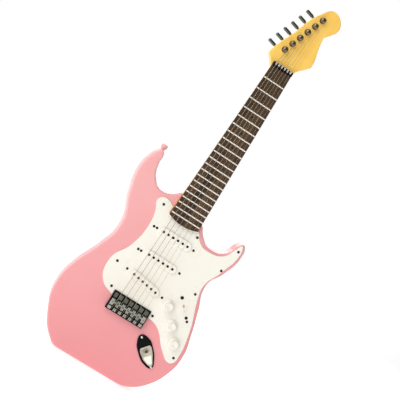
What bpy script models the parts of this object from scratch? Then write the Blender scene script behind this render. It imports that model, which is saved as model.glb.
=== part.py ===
"""Toy electric guitar: a hollow two-shell body, a bolted neck, six worm-geared tuners and toy electronics.

The guitar stands on the flat bottom end of its body. +Z runs along the neck to the headstock, +X is the
treble side and the strings face -Y. The origin is on the bottom face, under the strings' centre line.
Every number below is in millimetres; the helpers turn them into metres.
"""

import math

import bmesh
import bpy
from mathutils import Matrix, Vector

MM = 0.001
GAP = 0.3  # left between two pieces that touch
WELD = 1e-6  # metres
STRAIGHT = math.radians(0.3)
SHARP = math.radians(35.0)  # two faces that meet at more than this keep a sharp edge
FAR = 60.0  # how far a cutter reaches past the face that it opens
WIDE = 200.0  # past the body's sides
HIGH = 400.0  # past the body's top

# ---------------------------------------------------------------- driving dimensions
BODY_FACE = 21.0  # the body's front is at -BODY_FACE and its back at +BODY_FACE
BODY_WALL = 2.6
BODY_ROUNDING = 3.4
SEAM_Y = 5.0

GUARD_THICK = 1.6
GUARD_BACK = -BODY_FACE - GAP
GUARD_FRONT = GUARD_BACK - GUARD_THICK

NECK_FACE = -24.5  # front of the maple, under the fingerboard
HEEL_DEPTH = 18.5
HEEL_END_Z = 262.0
HEEL_STEP_Z = 281.3  # above it the heel is full thickness, below it slips under the pickguard
BOARD_THICK = 5.0
BOARD_FACE = NECK_FACE - GAP - BOARD_THICK
BOARD_CORNER_Z = 280.3
BOARD_END_Z = 275.0  # the lowest point of its curved end
NUT_Z = 573.0
NUT_HALF_WIDTH = 18.6
NUT_THICK = 7.0
NUT_FRONT = -32.4
NUT_SLOT_Y = -30.7
NUT_SLOT_HALF = 1.1
NECK_TAPER = 0.0296  # half-width gained per millimetre towards the body

FRET_COUNT = 21
LEAST_FRET_SPACE = 9.5
EXTRA_FRET_SPACE = 13.5  # added at the first fret, and shrinking by FRET_RATIO at each one after it
FRET_RATIO = 0.85
FRET_HIGH = 0.8
FRET_ROOT = 0.4  # how far it is sunk into the board
FRET_WIDE = 1.7
FRET_INSET = 0.7

HEAD_THICK = 12.5
HEAD_BACK = NECK_FACE + HEAD_THICK

STRING_COUNT = 6
STRING_RADIUS = 0.4
BRIDGE_PITCH = 9.7
NUT_PITCH = 5.56

POST_FIRST = Vector((-13.7, 0.0, 605.2))
POST_STEP = Vector((5.4, 0.0, 14.6))
PEG_WAY = Vector((-0.970, 0.0, 0.243)).normalized()  # from the post out to the button
PEG_ACROSS = Vector((0.243, 0.0, 0.970)).normalized()
WORM_OFFSET = 4.4
WORM_Y = -8.7
TUNER_PLATE_FRONT = HEAD_BACK + GAP
TUNER_PLATE_BACK = TUNER_PLATE_FRONT + 1.2

KNOB_PLACES = {
    "volume_knob": (53.8, 153.0),
    "tone_knob_upper": (75.8, 128.0),
    "tone_knob_lower": (94.8, 105.0),
}  # x, z
SHAFT_RADIUS = 3.0
SHAFT_HOLE = SHAFT_RADIUS + 0.6
BOARD_PLACE = Vector((74.5, 0.0, 129.0))
BOARD_TURN = math.radians(49.5)

SELECTOR_PLACE = Vector((77.3, 0.0, 163.5))
SELECTOR_TURN = math.radians(46.2)
SELECTOR_PIVOT_Y = -13.0
SELECTOR_REACH = 5.0  # half the length of the slot that the lever moves in
SELECTOR_HALF_SLOT = 1.8  # half the slot's width

JACK_PLACE = Vector((63.6, 0.0, 70.5))
JACK_TURN = math.radians(39.9)
JACK_HOLE_ALONG = 2.0  # from JACK_PLACE along the plate's long axis
SOCKET_RADIUS = 4.5
SOCKET_BORE = 3.2
DISH_BACK_Y = -11.6
JACK_WELL_FLOOR_Y = 2.8  # the closed well behind the dish, which holds the socket
JACK_WELL_WALL = 1.6

SPEAKER_PLACE = (0.0, 150.0)
SPEAKER_RADIUS = 21.0
BATTERY_BOX = (-29.0, 29.0, 35.0, 69.0)  # inside: low x, high x, low z, high z
BATTERY_WALL = 2.0
BATTERY_FLOOR_Y = 3.4
DOOR_PIVOT = (19.9, 33.0)  # y, z
DOOR_HALF_WIDTH = 34.6
DOOR_TOP_Z = 72.0
DOOR_PIN_REACH = 36.4
POWER_SLOT = (-62.0, -51.4, 48.7, 53.3)  # low x, high x, low z, high z

NECK_SCREWS = ((-14.0, 266.0), (14.0, 266.0), (-14.0, 285.0), (14.0, 285.0))
NECK_SCREW_RADIUS = 1.5
SHELL_BOSSES = (
    (-99.0, 75.0), (-48.0, 15.0), (62.0, 20.0), (97.0, 64.0),
    (-68.0, 205.0), (74.0, 205.0), (-93.0, 322.0), (100.0, 268.0),
)
STRAP_BUTTON = (-90.7, -1.0)  # x, y
STRAP_BUTTON_TOP_Z = 371.2

# ---------------------------------------------------------------- outlines
# Each point is (x, z), with a smooth curve through it. "H" or "V" makes the curve level or upright there,
# and "C" makes a corner.
BODY_OUTLINE = (
    (-62, 0, "H"), (44, 0, "H"), (70, 4.6), (98.7, 28), (116, 61), (120.8, 90, "V"), (113, 131), (100.6, 172),
    (88.8, 211, "V"), (103.5, 245), (113.2, 282, "V"), (111.6, 296), (105.6, 302.6, "H"), (99.6, 296.6),
    (94.6, 284.5), (82, 271.2), (62, 267.3, "H"), (42.5, 277), (31, 292, "C"), (-28, 320, "C"), (-40, 310),
    (-57, 305.3, "H"), (-76.5, 317.5), (-85.2, 340), (-86.4, 356.6), (-91.6, 362.2, "H"), (-97.2, 357),
    (-103.6, 344), (-108.3, 319, "V"), (-100.5, 277), (-83.6, 220, "V"), (-93.5, 180), (-113, 134),
    (-121.7, 92, "V"), (-108.5, 44), (-85, 11),
)
PICKGUARD_OUTLINE = (
    (-28.2, 293.6, "C"), (-44.5, 299.6, "H"), (-56.3, 290, "V"), (-50, 275), (-45.4, 247, "V"), (-52, 206),
    (-69.9, 164, "V"), (-59, 132), (-35.2, 120.4, "C"), (-35.2, 130.4, "C"), (35.2, 130.4, "C"),
    (35.2, 119.6, "C"), (56, 113.5), (87, 83), (104.5, 73.2, "H"), (114, 84, "V"), (107.5, 133), (88, 190),
    (84.8, 207, "V"), (98, 244.5), (108.5, 286, "V"), (103.8, 299.3, "H"), (98.5, 290), (87, 270),
    (59.5, 262.2, "H"), (41, 268), (31.4, 280.4, "C"), (28.2, 281.0, "C"), (-28.2, 281.0, "C"),
)
HEADSTOCK_OUTLINE = (
    (-18.6, 571, "C"), (-24.5, 579.5), (-32.2, 588.5), (-30.8, 599), (-17, 633), (5.5, 686),
    (23.5, 701.8, "H"), (45, 681, "V"), (37, 664.5), (30, 656.3, "C"), (33, 638), (39.2, 607, "V"),
    (33.5, 597.5), (21, 583), (18.6, 571, "C"),
)
# Along and across the jack plate's own long axis.
JACK_PLATE_OUTLINE = (
    (-29.5, 0, "V"), (-17, 11.5), (-5, 12.4), (16, 8.4), (29.5, -0.5, "V"), (18.5, -10.6), (-5, -13.2),
    (-17, -11.2),
)
JACK_DISH_OUTLINE = (
    (-7.9, -6.9, "V"), (-7.9, 7.5, "V"), (-6.1, 9.4), (1.3, 9.4), (14, 6.2), (26.4, 0.0, "V"), (16, -7.6),
    (6, -9.6), (-5.9, -8.9),
)


def clear_scene():
    for old in list(bpy.data.objects):
        bpy.data.objects.remove(old)


def collection(name):
    made = bpy.data.collections.new(name)
    bpy.context.scene.collection.children.link(made)
    return made


clear_scene()
PARTS = collection("toy_electric_guitar")
CUTTERS = collection("cutters")


def material(name, colour, roughness, metallic=0.0):
    made = bpy.data.materials.new(name)
    made.use_nodes = True
    shader = made.node_tree.nodes["Principled BSDF"]
    shader.inputs["Base Color"].default_value = (*colour, 1.0)
    shader.inputs["Roughness"].default_value = roughness
    shader.inputs["Metallic"].default_value = metallic
    made.diffuse_color = (*colour, 1.0)
    return made


PINK = material("pink_plastic", (0.90, 0.42, 0.43), 0.25)
IVORY = material("ivory_plastic", (0.93, 0.90, 0.80), 0.35)
MAPLE = material("maple", (0.86, 0.60, 0.22), 0.4)
ROSEWOOD = material("rosewood", (0.09, 0.05, 0.03), 0.55)
BLACK = material("black_plastic", (0.02, 0.02, 0.02), 0.35)
CHROME = material("chrome", (0.75, 0.76, 0.76), 0.15, 1.0)
STEEL = material("steel", (0.55, 0.54, 0.52), 0.3, 1.0)
GREEN = material("circuit_board", (0.03, 0.20, 0.08), 0.5)
PAPER = material("speaker_paper", (0.05, 0.05, 0.055), 0.8)
JACKET = material("battery_jacket", (0.10, 0.10, 0.12), 0.3)


# ---------------------------------------------------------------- making solids
def keep(solid, look):
    """A finished piece of the guitar."""
    solid.data.materials.clear()
    solid.data.materials.append(look)
    for holder in list(solid.users_collection):
        holder.objects.unlink(solid)
    PARTS.objects.link(solid)
    return solid


def tool(solid):
    """A cutter or a lump that is joined to another piece."""
    for holder in list(solid.users_collection):
        holder.objects.unlink(solid)
    CUTTERS.objects.link(solid)
    solid.hide_render = True
    solid.display_type = "WIRE"
    return solid


def combine(solid, other, operation):
    step = solid.modifiers.new(operation.lower() + "_" + other.name, "BOOLEAN")
    step.operation = operation
    step.object = tool(other)
    return solid


def cut(solid, *others):
    for other in others:
        combine(solid, other, "DIFFERENCE")
    return solid


def join(solid, *others):
    for other in others:
        combine(solid, other, "UNION")
    return solid


def finish_mesh(work, name):
    bmesh.ops.remove_doubles(work, verts=work.verts, dist=WELD)
    bmesh.ops.recalc_face_normals(work, faces=work.faces)
    if work.calc_volume(signed=True) < 0:
        bmesh.ops.reverse_faces(work, faces=work.faces)
    mesh = bpy.data.meshes.new(name)
    work.to_mesh(mesh)
    work.free()
    solid = bpy.data.objects.new(name, mesh)
    PARTS.objects.link(solid)
    return solid


def block(name, low, high, turn_y=0.0, about=None):
    """A box between two corners, turned about a Y axis through a point if asked."""
    low, high = Vector(low), Vector(high)
    work = bmesh.new()
    bmesh.ops.create_cube(work, size=1.0)
    bmesh.ops.scale(work, vec=(high - low) * MM, verts=work.verts)
    solid = finish_mesh(work, name)
    centre = (low + high) / 2
    if about is not None:
        centre = Vector(about) + Matrix.Rotation(turn_y, 3, "Y") @ centre
    solid.location = centre * MM
    solid.rotation_euler = (0.0, turn_y, 0.0)
    return solid


def rod(name, radius, start, end, sides=12):
    """A cylinder from one point to another."""
    start, end = Vector(start), Vector(end)
    wide, long = radius * MM, (end - start).length * MM
    work = bmesh.new()
    bmesh.ops.create_cone(work, cap_ends=True, segments=sides, radius1=wide, radius2=wide, depth=long)
    solid = finish_mesh(work, name)
    solid.location = (start + end) / 2 * MM
    solid.rotation_euler = (end - start).to_track_quat("Z", "Y").to_euler()
    return solid


def turned(name, profile, place, way, sides=16):
    """A profile of (radius, height), from its top down its outer side, turned about a line along way."""
    work = bmesh.new()
    rim = [work.verts.new((radius * MM, 0.0, height * MM)) for radius, height in profile]
    for first, second in zip(rim, rim[1:]):
        work.edges.new((first, second))
    mesh = bpy.data.meshes.new(name)
    work.to_mesh(mesh)
    work.free()
    solid = bpy.data.objects.new(name, mesh)
    PARTS.objects.link(solid)
    screw = solid.modifiers.new("turn", "SCREW")
    screw.steps = screw.render_steps = sides
    screw.use_merge_vertices = True
    screw.merge_threshold = WELD
    screw.use_normal_calculate = False
    solid.location = Vector(place) * MM
    solid.rotation_euler = Vector(way).to_track_quat("Z", "Y").to_euler()
    return solid


def outline_spline(curve, points, steps):
    spline = curve.splines.new("BEZIER")
    spline.bezier_points.add(len(points) - 1)
    spline.use_cyclic_u = True
    spline.resolution_u = steps
    for index, knot in enumerate(spline.bezier_points):
        here = Vector(points[index][:2])
        before = Vector(points[index - 1][:2])
        after = Vector(points[(index + 1) % len(points)][:2])
        way = points[index][2] if len(points[index]) > 2 else ""
        knot.co = (*(here * MM), 0.0)
        if way in ("H", "V"):
            axis = 0 if way == "H" else 1
            along = Vector((1.0, 0.0) if way == "H" else (0.0, 1.0))
            along *= math.copysign(1.0, after[axis] - before[axis])
            knot.handle_left_type = knot.handle_right_type = "FREE"
            reach_in = abs(here[axis] - before[axis]) * 0.5
            reach_out = abs(after[axis] - here[axis]) * 0.5
            knot.handle_left = (*((here - along * reach_in) * MM), 0.0)
            knot.handle_right = (*((here + along * reach_out) * MM), 0.0)
        else:
            kind = "VECTOR" if way == "C" else "AUTO"
            knot.handle_left_type = knot.handle_right_type = kind


def slab(
    name, points, front, back, rounding=0.0, grow=0.0, steps=3, round_steps=0, turn_y=0.0, place=(0, 0, 0)
):
    """A flat outline in X and Z, filled from y = front to y = back, grown or shrunk all round if asked."""
    curve = bpy.data.curves.new(name, "CURVE")
    curve.dimensions = "2D"
    curve.fill_mode = "BOTH"
    curve.extrude = ((back - front) / 2 - rounding) * MM
    curve.bevel_depth = rounding * MM
    curve.bevel_resolution = round_steps
    curve.offset = (grow - rounding) * MM
    curve.resolution_u = steps
    outline_spline(curve, points, steps)
    flat = bpy.data.objects.new(name, curve)
    PARTS.objects.link(flat)
    flat.location = Vector(place) * MM + Vector((0.0, (front + back) / 2 * MM, 0.0))
    # The curve lies in its own X and Y, so it is stood up first and then turned about the world's Y axis.
    stand = Matrix.Rotation(math.radians(90), 3, "X")
    flat.rotation_euler = (Matrix.Rotation(turn_y, 3, "Y") @ stand).to_euler()
    bpy.context.view_layer.update()
    mesh = bpy.data.meshes.new_from_object(flat.evaluated_get(bpy.context.evaluated_depsgraph_get()))
    work = bmesh.new()
    work.from_mesh(mesh)
    bpy.data.meshes.remove(mesh)
    place_matrix = flat.matrix_world.copy()
    bpy.data.objects.remove(flat)
    bmesh.ops.remove_doubles(work, verts=work.verts, dist=WELD)
    # Points along a straight stretch would leave faces of no area in the filled ends.
    bmesh.ops.dissolve_limit(work, angle_limit=STRAIGHT, verts=work.verts, edges=work.edges)
    solid = finish_mesh(work, name)
    solid.matrix_world = place_matrix
    return solid


def smooth(solid):
    solid.data.shade_smooth()
    solid.data.set_sharp_from_angle(angle=SHARP)
    return solid


def set_origin(solid, place):
    """Moves an object's origin onto its joint's axis without moving its shape."""
    bpy.context.view_layer.update()
    origin = Matrix.Translation(Vector(place) * MM)
    solid.data.transform(origin.inverted() @ solid.matrix_world)
    solid.matrix_world = origin


def half_width(height):
    """Half the neck's width at a height."""
    return NUT_HALF_WIDTH + (NUT_Z - height) * NECK_TAPER


# ---------------------------------------------------------------- body shells
POCKET_TOP_Z = 340.0
POCKET_FLOOR_Y = NECK_FACE + HEEL_DEPTH + GAP
POCKET_ROOM = GAP + 0.1
TUB_HALF_WIDTH = 31.5
TUB_LOW_Z = 258.5
TUB_FLOOR = 3.0
INNER_Y = 10.0  # inside the shells, where a cutter for one of their walls may end
POST_RADIUS = 3.2
WALL_OVERLAP = 1.0
BOSS_RADIUS = 3.6
BOSS_HOLE_RADIUS = 3.0
BOSS_HOLE_Y = 13.0
NECK_BOSS_RADIUS = 4.0
NECK_BOSS_FRONT_Y = -2.4
STRAP_STEM_RADIUS = 3.0
STRAP_STEM_LOW = 19.2  # below the flange's top
STRAP_FLANGE_RADIUS = 5.3
STRAP_FLANGE_THICK = 6.6
GRILLE_PITCH = 4.8
GRILLE_SLOT_HALF = 1.1
GRILLE_RADIUS = 17.0
GRILLE_SIDE_SLOTS = 3  # on each side of the middle one
DOOR_ROOM = 0.4
DOOR_RECESS = 2.3
DOOR_BARREL_ROOM = 1.7
DOOR_PIN_RADIUS = 0.5
DOOR_BARREL_RADIUS = 0.9


def body_blank(name):
    return slab(name, BODY_OUTLINE, -BODY_FACE, BODY_FACE, rounding=BODY_ROUNDING, round_steps=1)


def hollow(name):
    return slab(name, BODY_OUTLINE, -BODY_FACE + BODY_WALL, BODY_FACE - BODY_WALL, grow=-BODY_WALL)


def heel_plan(extra):
    """The neck pocket's outline: it opens past the body's top edge."""
    low, high = half_width(HEEL_END_Z) + extra, half_width(POCKET_TOP_Z) + extra
    return (
        (-low, HEEL_END_Z - extra, "C"), (low, HEEL_END_Z - extra, "C"), (high, POCKET_TOP_Z, "C"),
        (-high, POCKET_TOP_Z, "C"),
    )


def selector_slot(name, room=0.0):
    """A cutter for the slot that the selector's lever comes out of."""
    reach, half = SELECTOR_REACH + room, SELECTOR_HALF_SLOT + 0.4 * room
    return block(name, (-reach, -FAR, -half), (reach, -INNER_Y, half), SELECTOR_TURN, SELECTOR_PLACE)


def body_front():
    shell = body_blank("body_front")
    seam = SEAM_Y - GAP / 2
    cut(shell, block("behind_seam", (-WIDE, seam, -FAR), (WIDE, FAR, HIGH)))
    inside = hollow("front_hollow")
    tub_low, tub_back = (-TUB_HALF_WIDTH, -FAR, TUB_LOW_Z), POCKET_FLOOR_Y + TUB_FLOOR
    cut(inside, block("neck_tub", tub_low, (TUB_HALF_WIDTH, tub_back, POCKET_TOP_Z)))
    cut(shell, inside)
    cut(shell, slab("neck_pocket", heel_plan(POCKET_ROOM), -FAR, POCKET_FLOOR_Y, steps=1))
    wall_y = WALL_OVERLAP - BODY_FACE
    for index, (x, z) in enumerate(SHELL_BOSSES):
        join(shell, rod(f"front_post_{index}", POST_RADIUS, (x, wall_y, z), (x, seam, z), 8))
    for index, (x, z) in enumerate(NECK_SCREWS):
        ends = (x, -INNER_Y, z), (x, tub_back + 1.0, z)
        cut(shell, rod(f"pocket_hole_{index}", NECK_SCREW_RADIUS + GAP, *ends, 8))
    for name, (x, z) in KNOB_PLACES.items():
        cut(shell, rod(f"{name}_way", SHAFT_HOLE, (x, -FAR, z), (x, -INNER_Y, z), 10))
    cut(shell, selector_slot("selector_way", 1.0))
    well_room = 1.0 + GAP
    well = jack_shape(
        "jack_well", JACK_DISH_OUTLINE, wall_y, JACK_WELL_FLOOR_Y + JACK_WELL_WALL,
        grow=well_room + JACK_WELL_WALL,
    )
    join(shell, well)
    cut(shell, jack_shape("jack_well_room", JACK_DISH_OUTLINE, -FAR, JACK_WELL_FLOOR_Y, grow=well_room))
    x, y = STRAP_BUTTON
    top, flange_low = STRAP_BUTTON_TOP_Z, STRAP_BUTTON_TOP_Z - STRAP_FLANGE_THICK
    stem = (x, y, top - STRAP_STEM_LOW), (x, y, flange_low + 1.4)
    join(shell, rod("strap_stem", STRAP_STEM_RADIUS, *stem, 12))
    join(shell, rod("strap_flange", STRAP_FLANGE_RADIUS, (x, y, flange_low), (x, y, top), 12))
    return keep(smooth(shell), PINK)


def battery_walls(name):
    low_x, high_x, low_z, high_z = BATTERY_BOX
    wall = BATTERY_WALL
    low = (low_x - wall, BATTERY_FLOOR_Y - wall, low_z - wall)
    return block(name, low, (high_x + wall, BODY_FACE - 1.5, high_z + wall))


def grille_slot(index):
    x, z = SPEAKER_PLACE
    across = index * GRILLE_PITCH
    reach = math.sqrt(GRILLE_RADIUS**2 - across**2)
    low = (x + across - GRILLE_SLOT_HALF, INNER_Y, z - reach)
    return block(f"grille_{index + GRILLE_SIDE_SLOTS}", low, (x + across + GRILLE_SLOT_HALF, FAR, z + reach))


def body_back():
    shell = body_blank("body_back")
    seam = SEAM_Y + GAP / 2
    cut(shell, block("before_seam", (-WIDE, -FAR, -FAR), (WIDE, seam, HIGH)))
    cut(shell, hollow("back_hollow"))
    wall_y = BODY_FACE - WALL_OVERLAP
    for index, (x, z) in enumerate(NECK_SCREWS):
        join(shell, rod(f"neck_boss_{index}", NECK_BOSS_RADIUS, (x, NECK_BOSS_FRONT_Y, z), (x, wall_y, z), 8))
    for index, (x, z) in enumerate(SHELL_BOSSES):
        join(shell, rod(f"back_boss_{index}", BOSS_RADIUS, (x, seam, z), (x, wall_y, z), 8))
    for index, (x, z) in enumerate(NECK_SCREWS):
        ends = (x, -INNER_Y, z), (x, FAR, z)
        cut(shell, rod(f"neck_boss_hole_{index}", NECK_SCREW_RADIUS + GAP, *ends, 8))
    for index, (x, z) in enumerate(SHELL_BOSSES):
        cut(shell, rod(f"boss_hole_{index}", BOSS_HOLE_RADIUS, (x, BOSS_HOLE_Y, z), (x, FAR, z), 8))
    low_x, high_x, low_z, high_z = BATTERY_BOX
    join(shell, battery_walls("battery_walls"))
    cut(shell, block("battery_room", (low_x, BATTERY_FLOOR_Y, low_z), (high_x, FAR, high_z)))
    pivot_y, pivot_z = DOOR_PIVOT
    edge = DOOR_HALF_WIDTH + DOOR_ROOM
    recess_low = (-edge, BODY_FACE - DOOR_RECESS, pivot_z - DOOR_BARREL_ROOM)
    cut(shell, block("door_recess", recess_low, (edge, FAR, DOOR_TOP_Z + DOOR_ROOM)))
    pin = DOOR_PIN_REACH + 2 * GAP
    pin_ends = (-pin, pivot_y, pivot_z), (pin, pivot_y, pivot_z)
    cut(shell, rod("door_pin_holes", DOOR_PIN_RADIUS + GAP, *pin_ends, 10))
    for index in range(-GRILLE_SIDE_SLOTS, GRILLE_SIDE_SLOTS + 1):
        cut(shell, grille_slot(index))
    low_x, high_x, low_z, high_z = POWER_SLOT
    cut(shell, block("power_slot", (low_x, INNER_Y, low_z), (high_x, FAR, high_z)))
    return keep(smooth(shell), PINK)


# ---------------------------------------------------------------- pickguard and pickups
COVER_LONG = 60.0
COVER_WIDE = 15.0
COVER_FRONT = -27.0
COVER_WALL = 1.5
POLE_RADIUS = 2.0
POLE_PROUD = 0.4
POLE_BAR_Y = -23.0
POLE_BAR_INSET = 3.0
POLE_BAR_HALF_WIDTH = 2.6
PICKUPS = {
    "neck": (3.6, 251.0, 0.0, 9.16),
    "middle": (3.1, 207.0, 0.0, 9.0),
    "bridge": (0.2, 163.8, math.radians(9.3), 9.2),
}  # centre x, centre z, tilt, pole pitch


def round_ended(length, width):
    """An outline with half-round ends, along its own first axis."""
    reach, radius = length / 2, width / 2
    turn = radius * 0.72
    inner, outer = reach - radius, reach - radius + turn
    return (
        (-reach, 0, "V"), (-outer, turn), (-inner, radius, "H"), (inner, radius, "H"), (outer, turn),
        (reach, 0, "V"), (outer, -turn), (inner, -radius, "H"), (-inner, -radius, "H"), (-outer, -turn),
    )


def pole_places(pickup):
    x, z, tilt, pitch = PICKUPS[pickup]
    along = Vector((math.cos(tilt), 0.0, -math.sin(tilt)))
    return [Vector((x, 0.0, z)) + along * pitch * (index - 2.5) for index in range(STRING_COUNT)]


def at_depths(spot, front, back):
    """The two ends of a rod that runs along Y through a spot."""
    return (spot.x, front, spot.z), (spot.x, back, spot.z)


def cover_shape(name, pickup, front, back, grow=0.0):
    x, z, tilt, _ = PICKUPS[pickup]
    ends = round_ended(COVER_LONG, COVER_WIDE)
    return slab(name, ends, front, back, grow=grow, steps=2, turn_y=tilt, place=(x, 0, z))


def pickguard():
    guard = slab("pickguard", PICKGUARD_OUTLINE, GUARD_FRONT, GUARD_BACK)
    for pickup in PICKUPS:
        cut(guard, cover_shape(f"{pickup}_window", pickup, -FAR, -INNER_Y, grow=GAP))
    for name, (x, z) in KNOB_PLACES.items():
        cut(guard, rod(f"{name}_guard_hole", SHAFT_HOLE, (x, -FAR, z), (x, -INNER_Y, z), 10))
    cut(guard, selector_slot("selector_guard_slot"))
    return keep(smooth(guard), IVORY)


def pickup_cover(pickup):
    cover = cover_shape(f"pickup_cover_{pickup}", pickup, COVER_FRONT, GUARD_BACK)
    room_front = COVER_FRONT + COVER_WALL
    cut(cover, cover_shape(f"{pickup}_cover_room", pickup, room_front, -INNER_Y, grow=-COVER_WALL))
    for index, spot in enumerate(pole_places(pickup)):
        ends = at_depths(spot, -FAR, POLE_BAR_Y)
        cut(cover, rod(f"{pickup}_pole_hole_{index}", POLE_RADIUS + GAP, *ends, 8))
    return keep(smooth(cover), IVORY)


def pickup_poles(pickup):
    x, z, tilt, _ = PICKUPS[pickup]
    reach, half = COVER_LONG / 2 - POLE_BAR_INSET, POLE_BAR_HALF_WIDTH
    low, high = (-reach, POLE_BAR_Y - 0.4, -half), (reach, GUARD_BACK - GAP, half)
    bar = block(f"pickup_poles_{pickup}", low, high, tilt, (x, 0, z))
    for index, spot in enumerate(pole_places(pickup)):
        ends = at_depths(spot, COVER_FRONT - POLE_PROUD, POLE_BAR_Y + 0.6)
        join(bar, rod(f"{pickup}_pole_{index}", POLE_RADIUS, *ends, 8))
    return keep(smooth(bar), STEEL)


# ---------------------------------------------------------------- bridge and strings
BRIDGE_HALF_WIDTH = 34.6
BRIDGE_LOW_Z = 98.0
BRIDGE_HIGH_Z = 129.8
BRIDGE_WALL_FRONT = -29.0
BRIDGE_WALL_THICK = 1.4
BRIDGE_RAIL_FRONT = -28.0
RAIL_THICK = 1.7
RAIL_INSET = 0.4
PLATE_FRONT = -23.3
SADDLE_FRONT = -33.2
SADDLE_LOW_Z = 99.8
SADDLE_HIGH_Z = 118.2
SADDLE_ROOM = 0.2
CREST_Z = 113.0
CREST_HALF = 2.0  # half the length of the bar that a string rests on
STRING_WAY = 1.6  # half the width of the channel that a string runs in
STRING_WAY_FLOOR_Y = -27.6
STRING_REST_Y = -32.3
CROSS_GROOVE_Y = -29.5
CROSS_GROOVE = (105.2, 107.0)  # low z, high z


def string_at_bridge(index):
    return (index - (STRING_COUNT - 1) / 2) * BRIDGE_PITCH


def string_at_nut(index):
    return (index - (STRING_COUNT - 1) / 2) * NUT_PITCH


def bridge_plate():
    half, low, high = BRIDGE_HALF_WIDTH, BRIDGE_LOW_Z, BRIDGE_HIGH_Z
    plate = block("bridge_plate", (-half, PLATE_FRONT, low), (half, GUARD_BACK, high))
    wall_low, wall_high = (-half, BRIDGE_WALL_FRONT, low), (half, PLATE_FRONT + 1, low + BRIDGE_WALL_THICK)
    join(plate, block("bridge_wall", wall_low, wall_high))
    for side in (-1, 1):
        inner, outer = sorted((side * (half - RAIL_THICK), side * half))
        rail_low = (inner, BRIDGE_RAIL_FRONT, low + RAIL_INSET)
        join(plate, block(f"bridge_rail_{side + 1}", rail_low, (outer, PLATE_FRONT + 1, high - RAIL_INSET)))
    return keep(plate, BLACK)


def saddle(index):
    x = string_at_bridge(index)
    half = BRIDGE_PITCH / 2 - SADDLE_ROOM
    edge = BRIDGE_HALF_WIDTH - RAIL_THICK - 0.5 - abs(x)  # the outer saddles reach nearly to the rails
    left = edge if index == 0 else half
    right = edge if index == STRING_COUNT - 1 else half
    low, high = (x - left, SADDLE_FRONT, SADDLE_LOW_Z), (x + right, PLATE_FRONT - GAP, SADDLE_HIGH_Z)
    body = block(f"saddle_{index + 1}", low, high)
    way, rest = STRING_WAY, STRING_WAY / 2
    below, above = CREST_Z - CREST_HALF, CREST_Z + CREST_HALF
    way_low, way_high = (x - way, -FAR, SADDLE_LOW_Z - 10), (x + way, STRING_WAY_FLOOR_Y, SADDLE_HIGH_Z + 10)
    cut(body, block(f"string_way_low_{index}", way_low, (way_high[0], way_high[1], below)))
    cut(body, block(f"string_way_high_{index}", (way_low[0], way_low[1], above), way_high))
    rest_low, rest_high = (x - rest, -FAR, below - 1), (x + rest, STRING_REST_Y, above + 1)
    cut(body, block(f"string_rest_{index}", rest_low, rest_high))
    groove_low, groove_high = CROSS_GROOVE
    groove = (x - BRIDGE_PITCH, -FAR, groove_low), (x + BRIDGE_PITCH, CROSS_GROOVE_Y, groove_high)
    cut(body, block(f"cross_groove_{index}", *groove))
    return keep(body, CHROME)


def string(index):
    bridge_x = string_at_bridge(index)
    nut_x = string_at_nut(index)
    post = POST_FIRST + POST_STEP * index
    wind_x = post.x + POST_WAIST + STRING_RADIUS + GAP
    route = (
        (bridge_x, -28.4, 100.8), (bridge_x, -32.2, 109.8), (bridge_x, -33.0, 111.8),
        (bridge_x, -33.05, 114.2), (nut_x, -31.5, 574.5), (nut_x, -31.45, 578.0), (nut_x, -31.2, 580.4),
        (wind_x, -28.9, post.z),
    )
    curve = bpy.data.curves.new(f"string_{index + 1}", "CURVE")
    curve.dimensions = "3D"
    curve.bevel_depth = STRING_RADIUS * MM
    curve.bevel_resolution = 1
    curve.use_fill_caps = True
    spline = curve.splines.new("POLY")
    spline.points.add(len(route) - 1)
    for knot, place in zip(spline.points, route):
        knot.co = (*(Vector(place) * MM), 1.0)
    wire = bpy.data.objects.new(f"string_{index + 1}", curve)
    PARTS.objects.link(wire)
    curve.materials.append(STEEL)
    return wire


# ---------------------------------------------------------------- neck
POST_WAIST = 2.7
TONGUE_FACE = -BODY_FACE + 0.2  # the heel's front where it slips under the pickguard
# Height, depth and squareness of each section of the neck's back.
NECK_SECTIONS = (
    (HEEL_STEP_Z, HEEL_DEPTH, 9.0), (312, HEEL_DEPTH, 9.0), (326, 17.0, 5.0), (342, 14.6, 3.0),
    (364, 13.8, 2.4), (470, 13.2, 2.3), (556, 12.6, 2.3), (576, 12.4, 2.8), (584, 12.4, 5.0),
)
NECK_RING = 10
TONGUE_LAP = 4.0  # how far the tongue runs up into the full heel
HEEL_HOLE_FLOOR_Y = -17.0
HEAD_ROUNDING = 1.2


def neck_ring(height, depth, power):
    """Half of a squared ellipse behind the neck's face."""
    ring = []
    for step in range(NECK_RING + 1):
        angle = math.pi * step / NECK_RING
        across = math.copysign(abs(math.cos(angle)) ** (2 / power), math.cos(angle))
        behind = math.sin(angle) ** (2 / power)
        ring.append((half_width(height) * across, NECK_FACE + depth * behind, height))
    return ring


def neck_bar():
    work = bmesh.new()
    rings = []
    for section in NECK_SECTIONS:
        rings.append([work.verts.new(Vector(place) * MM) for place in neck_ring(*section)])
    for low, high in zip(rings, rings[1:]):
        for step in range(-1, NECK_RING):
            work.faces.new((low[step], low[step + 1], high[step + 1], high[step]))
    work.faces.new(rings[0])
    work.faces.new(rings[-1])
    return finish_mesh(work, "neck")


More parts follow.
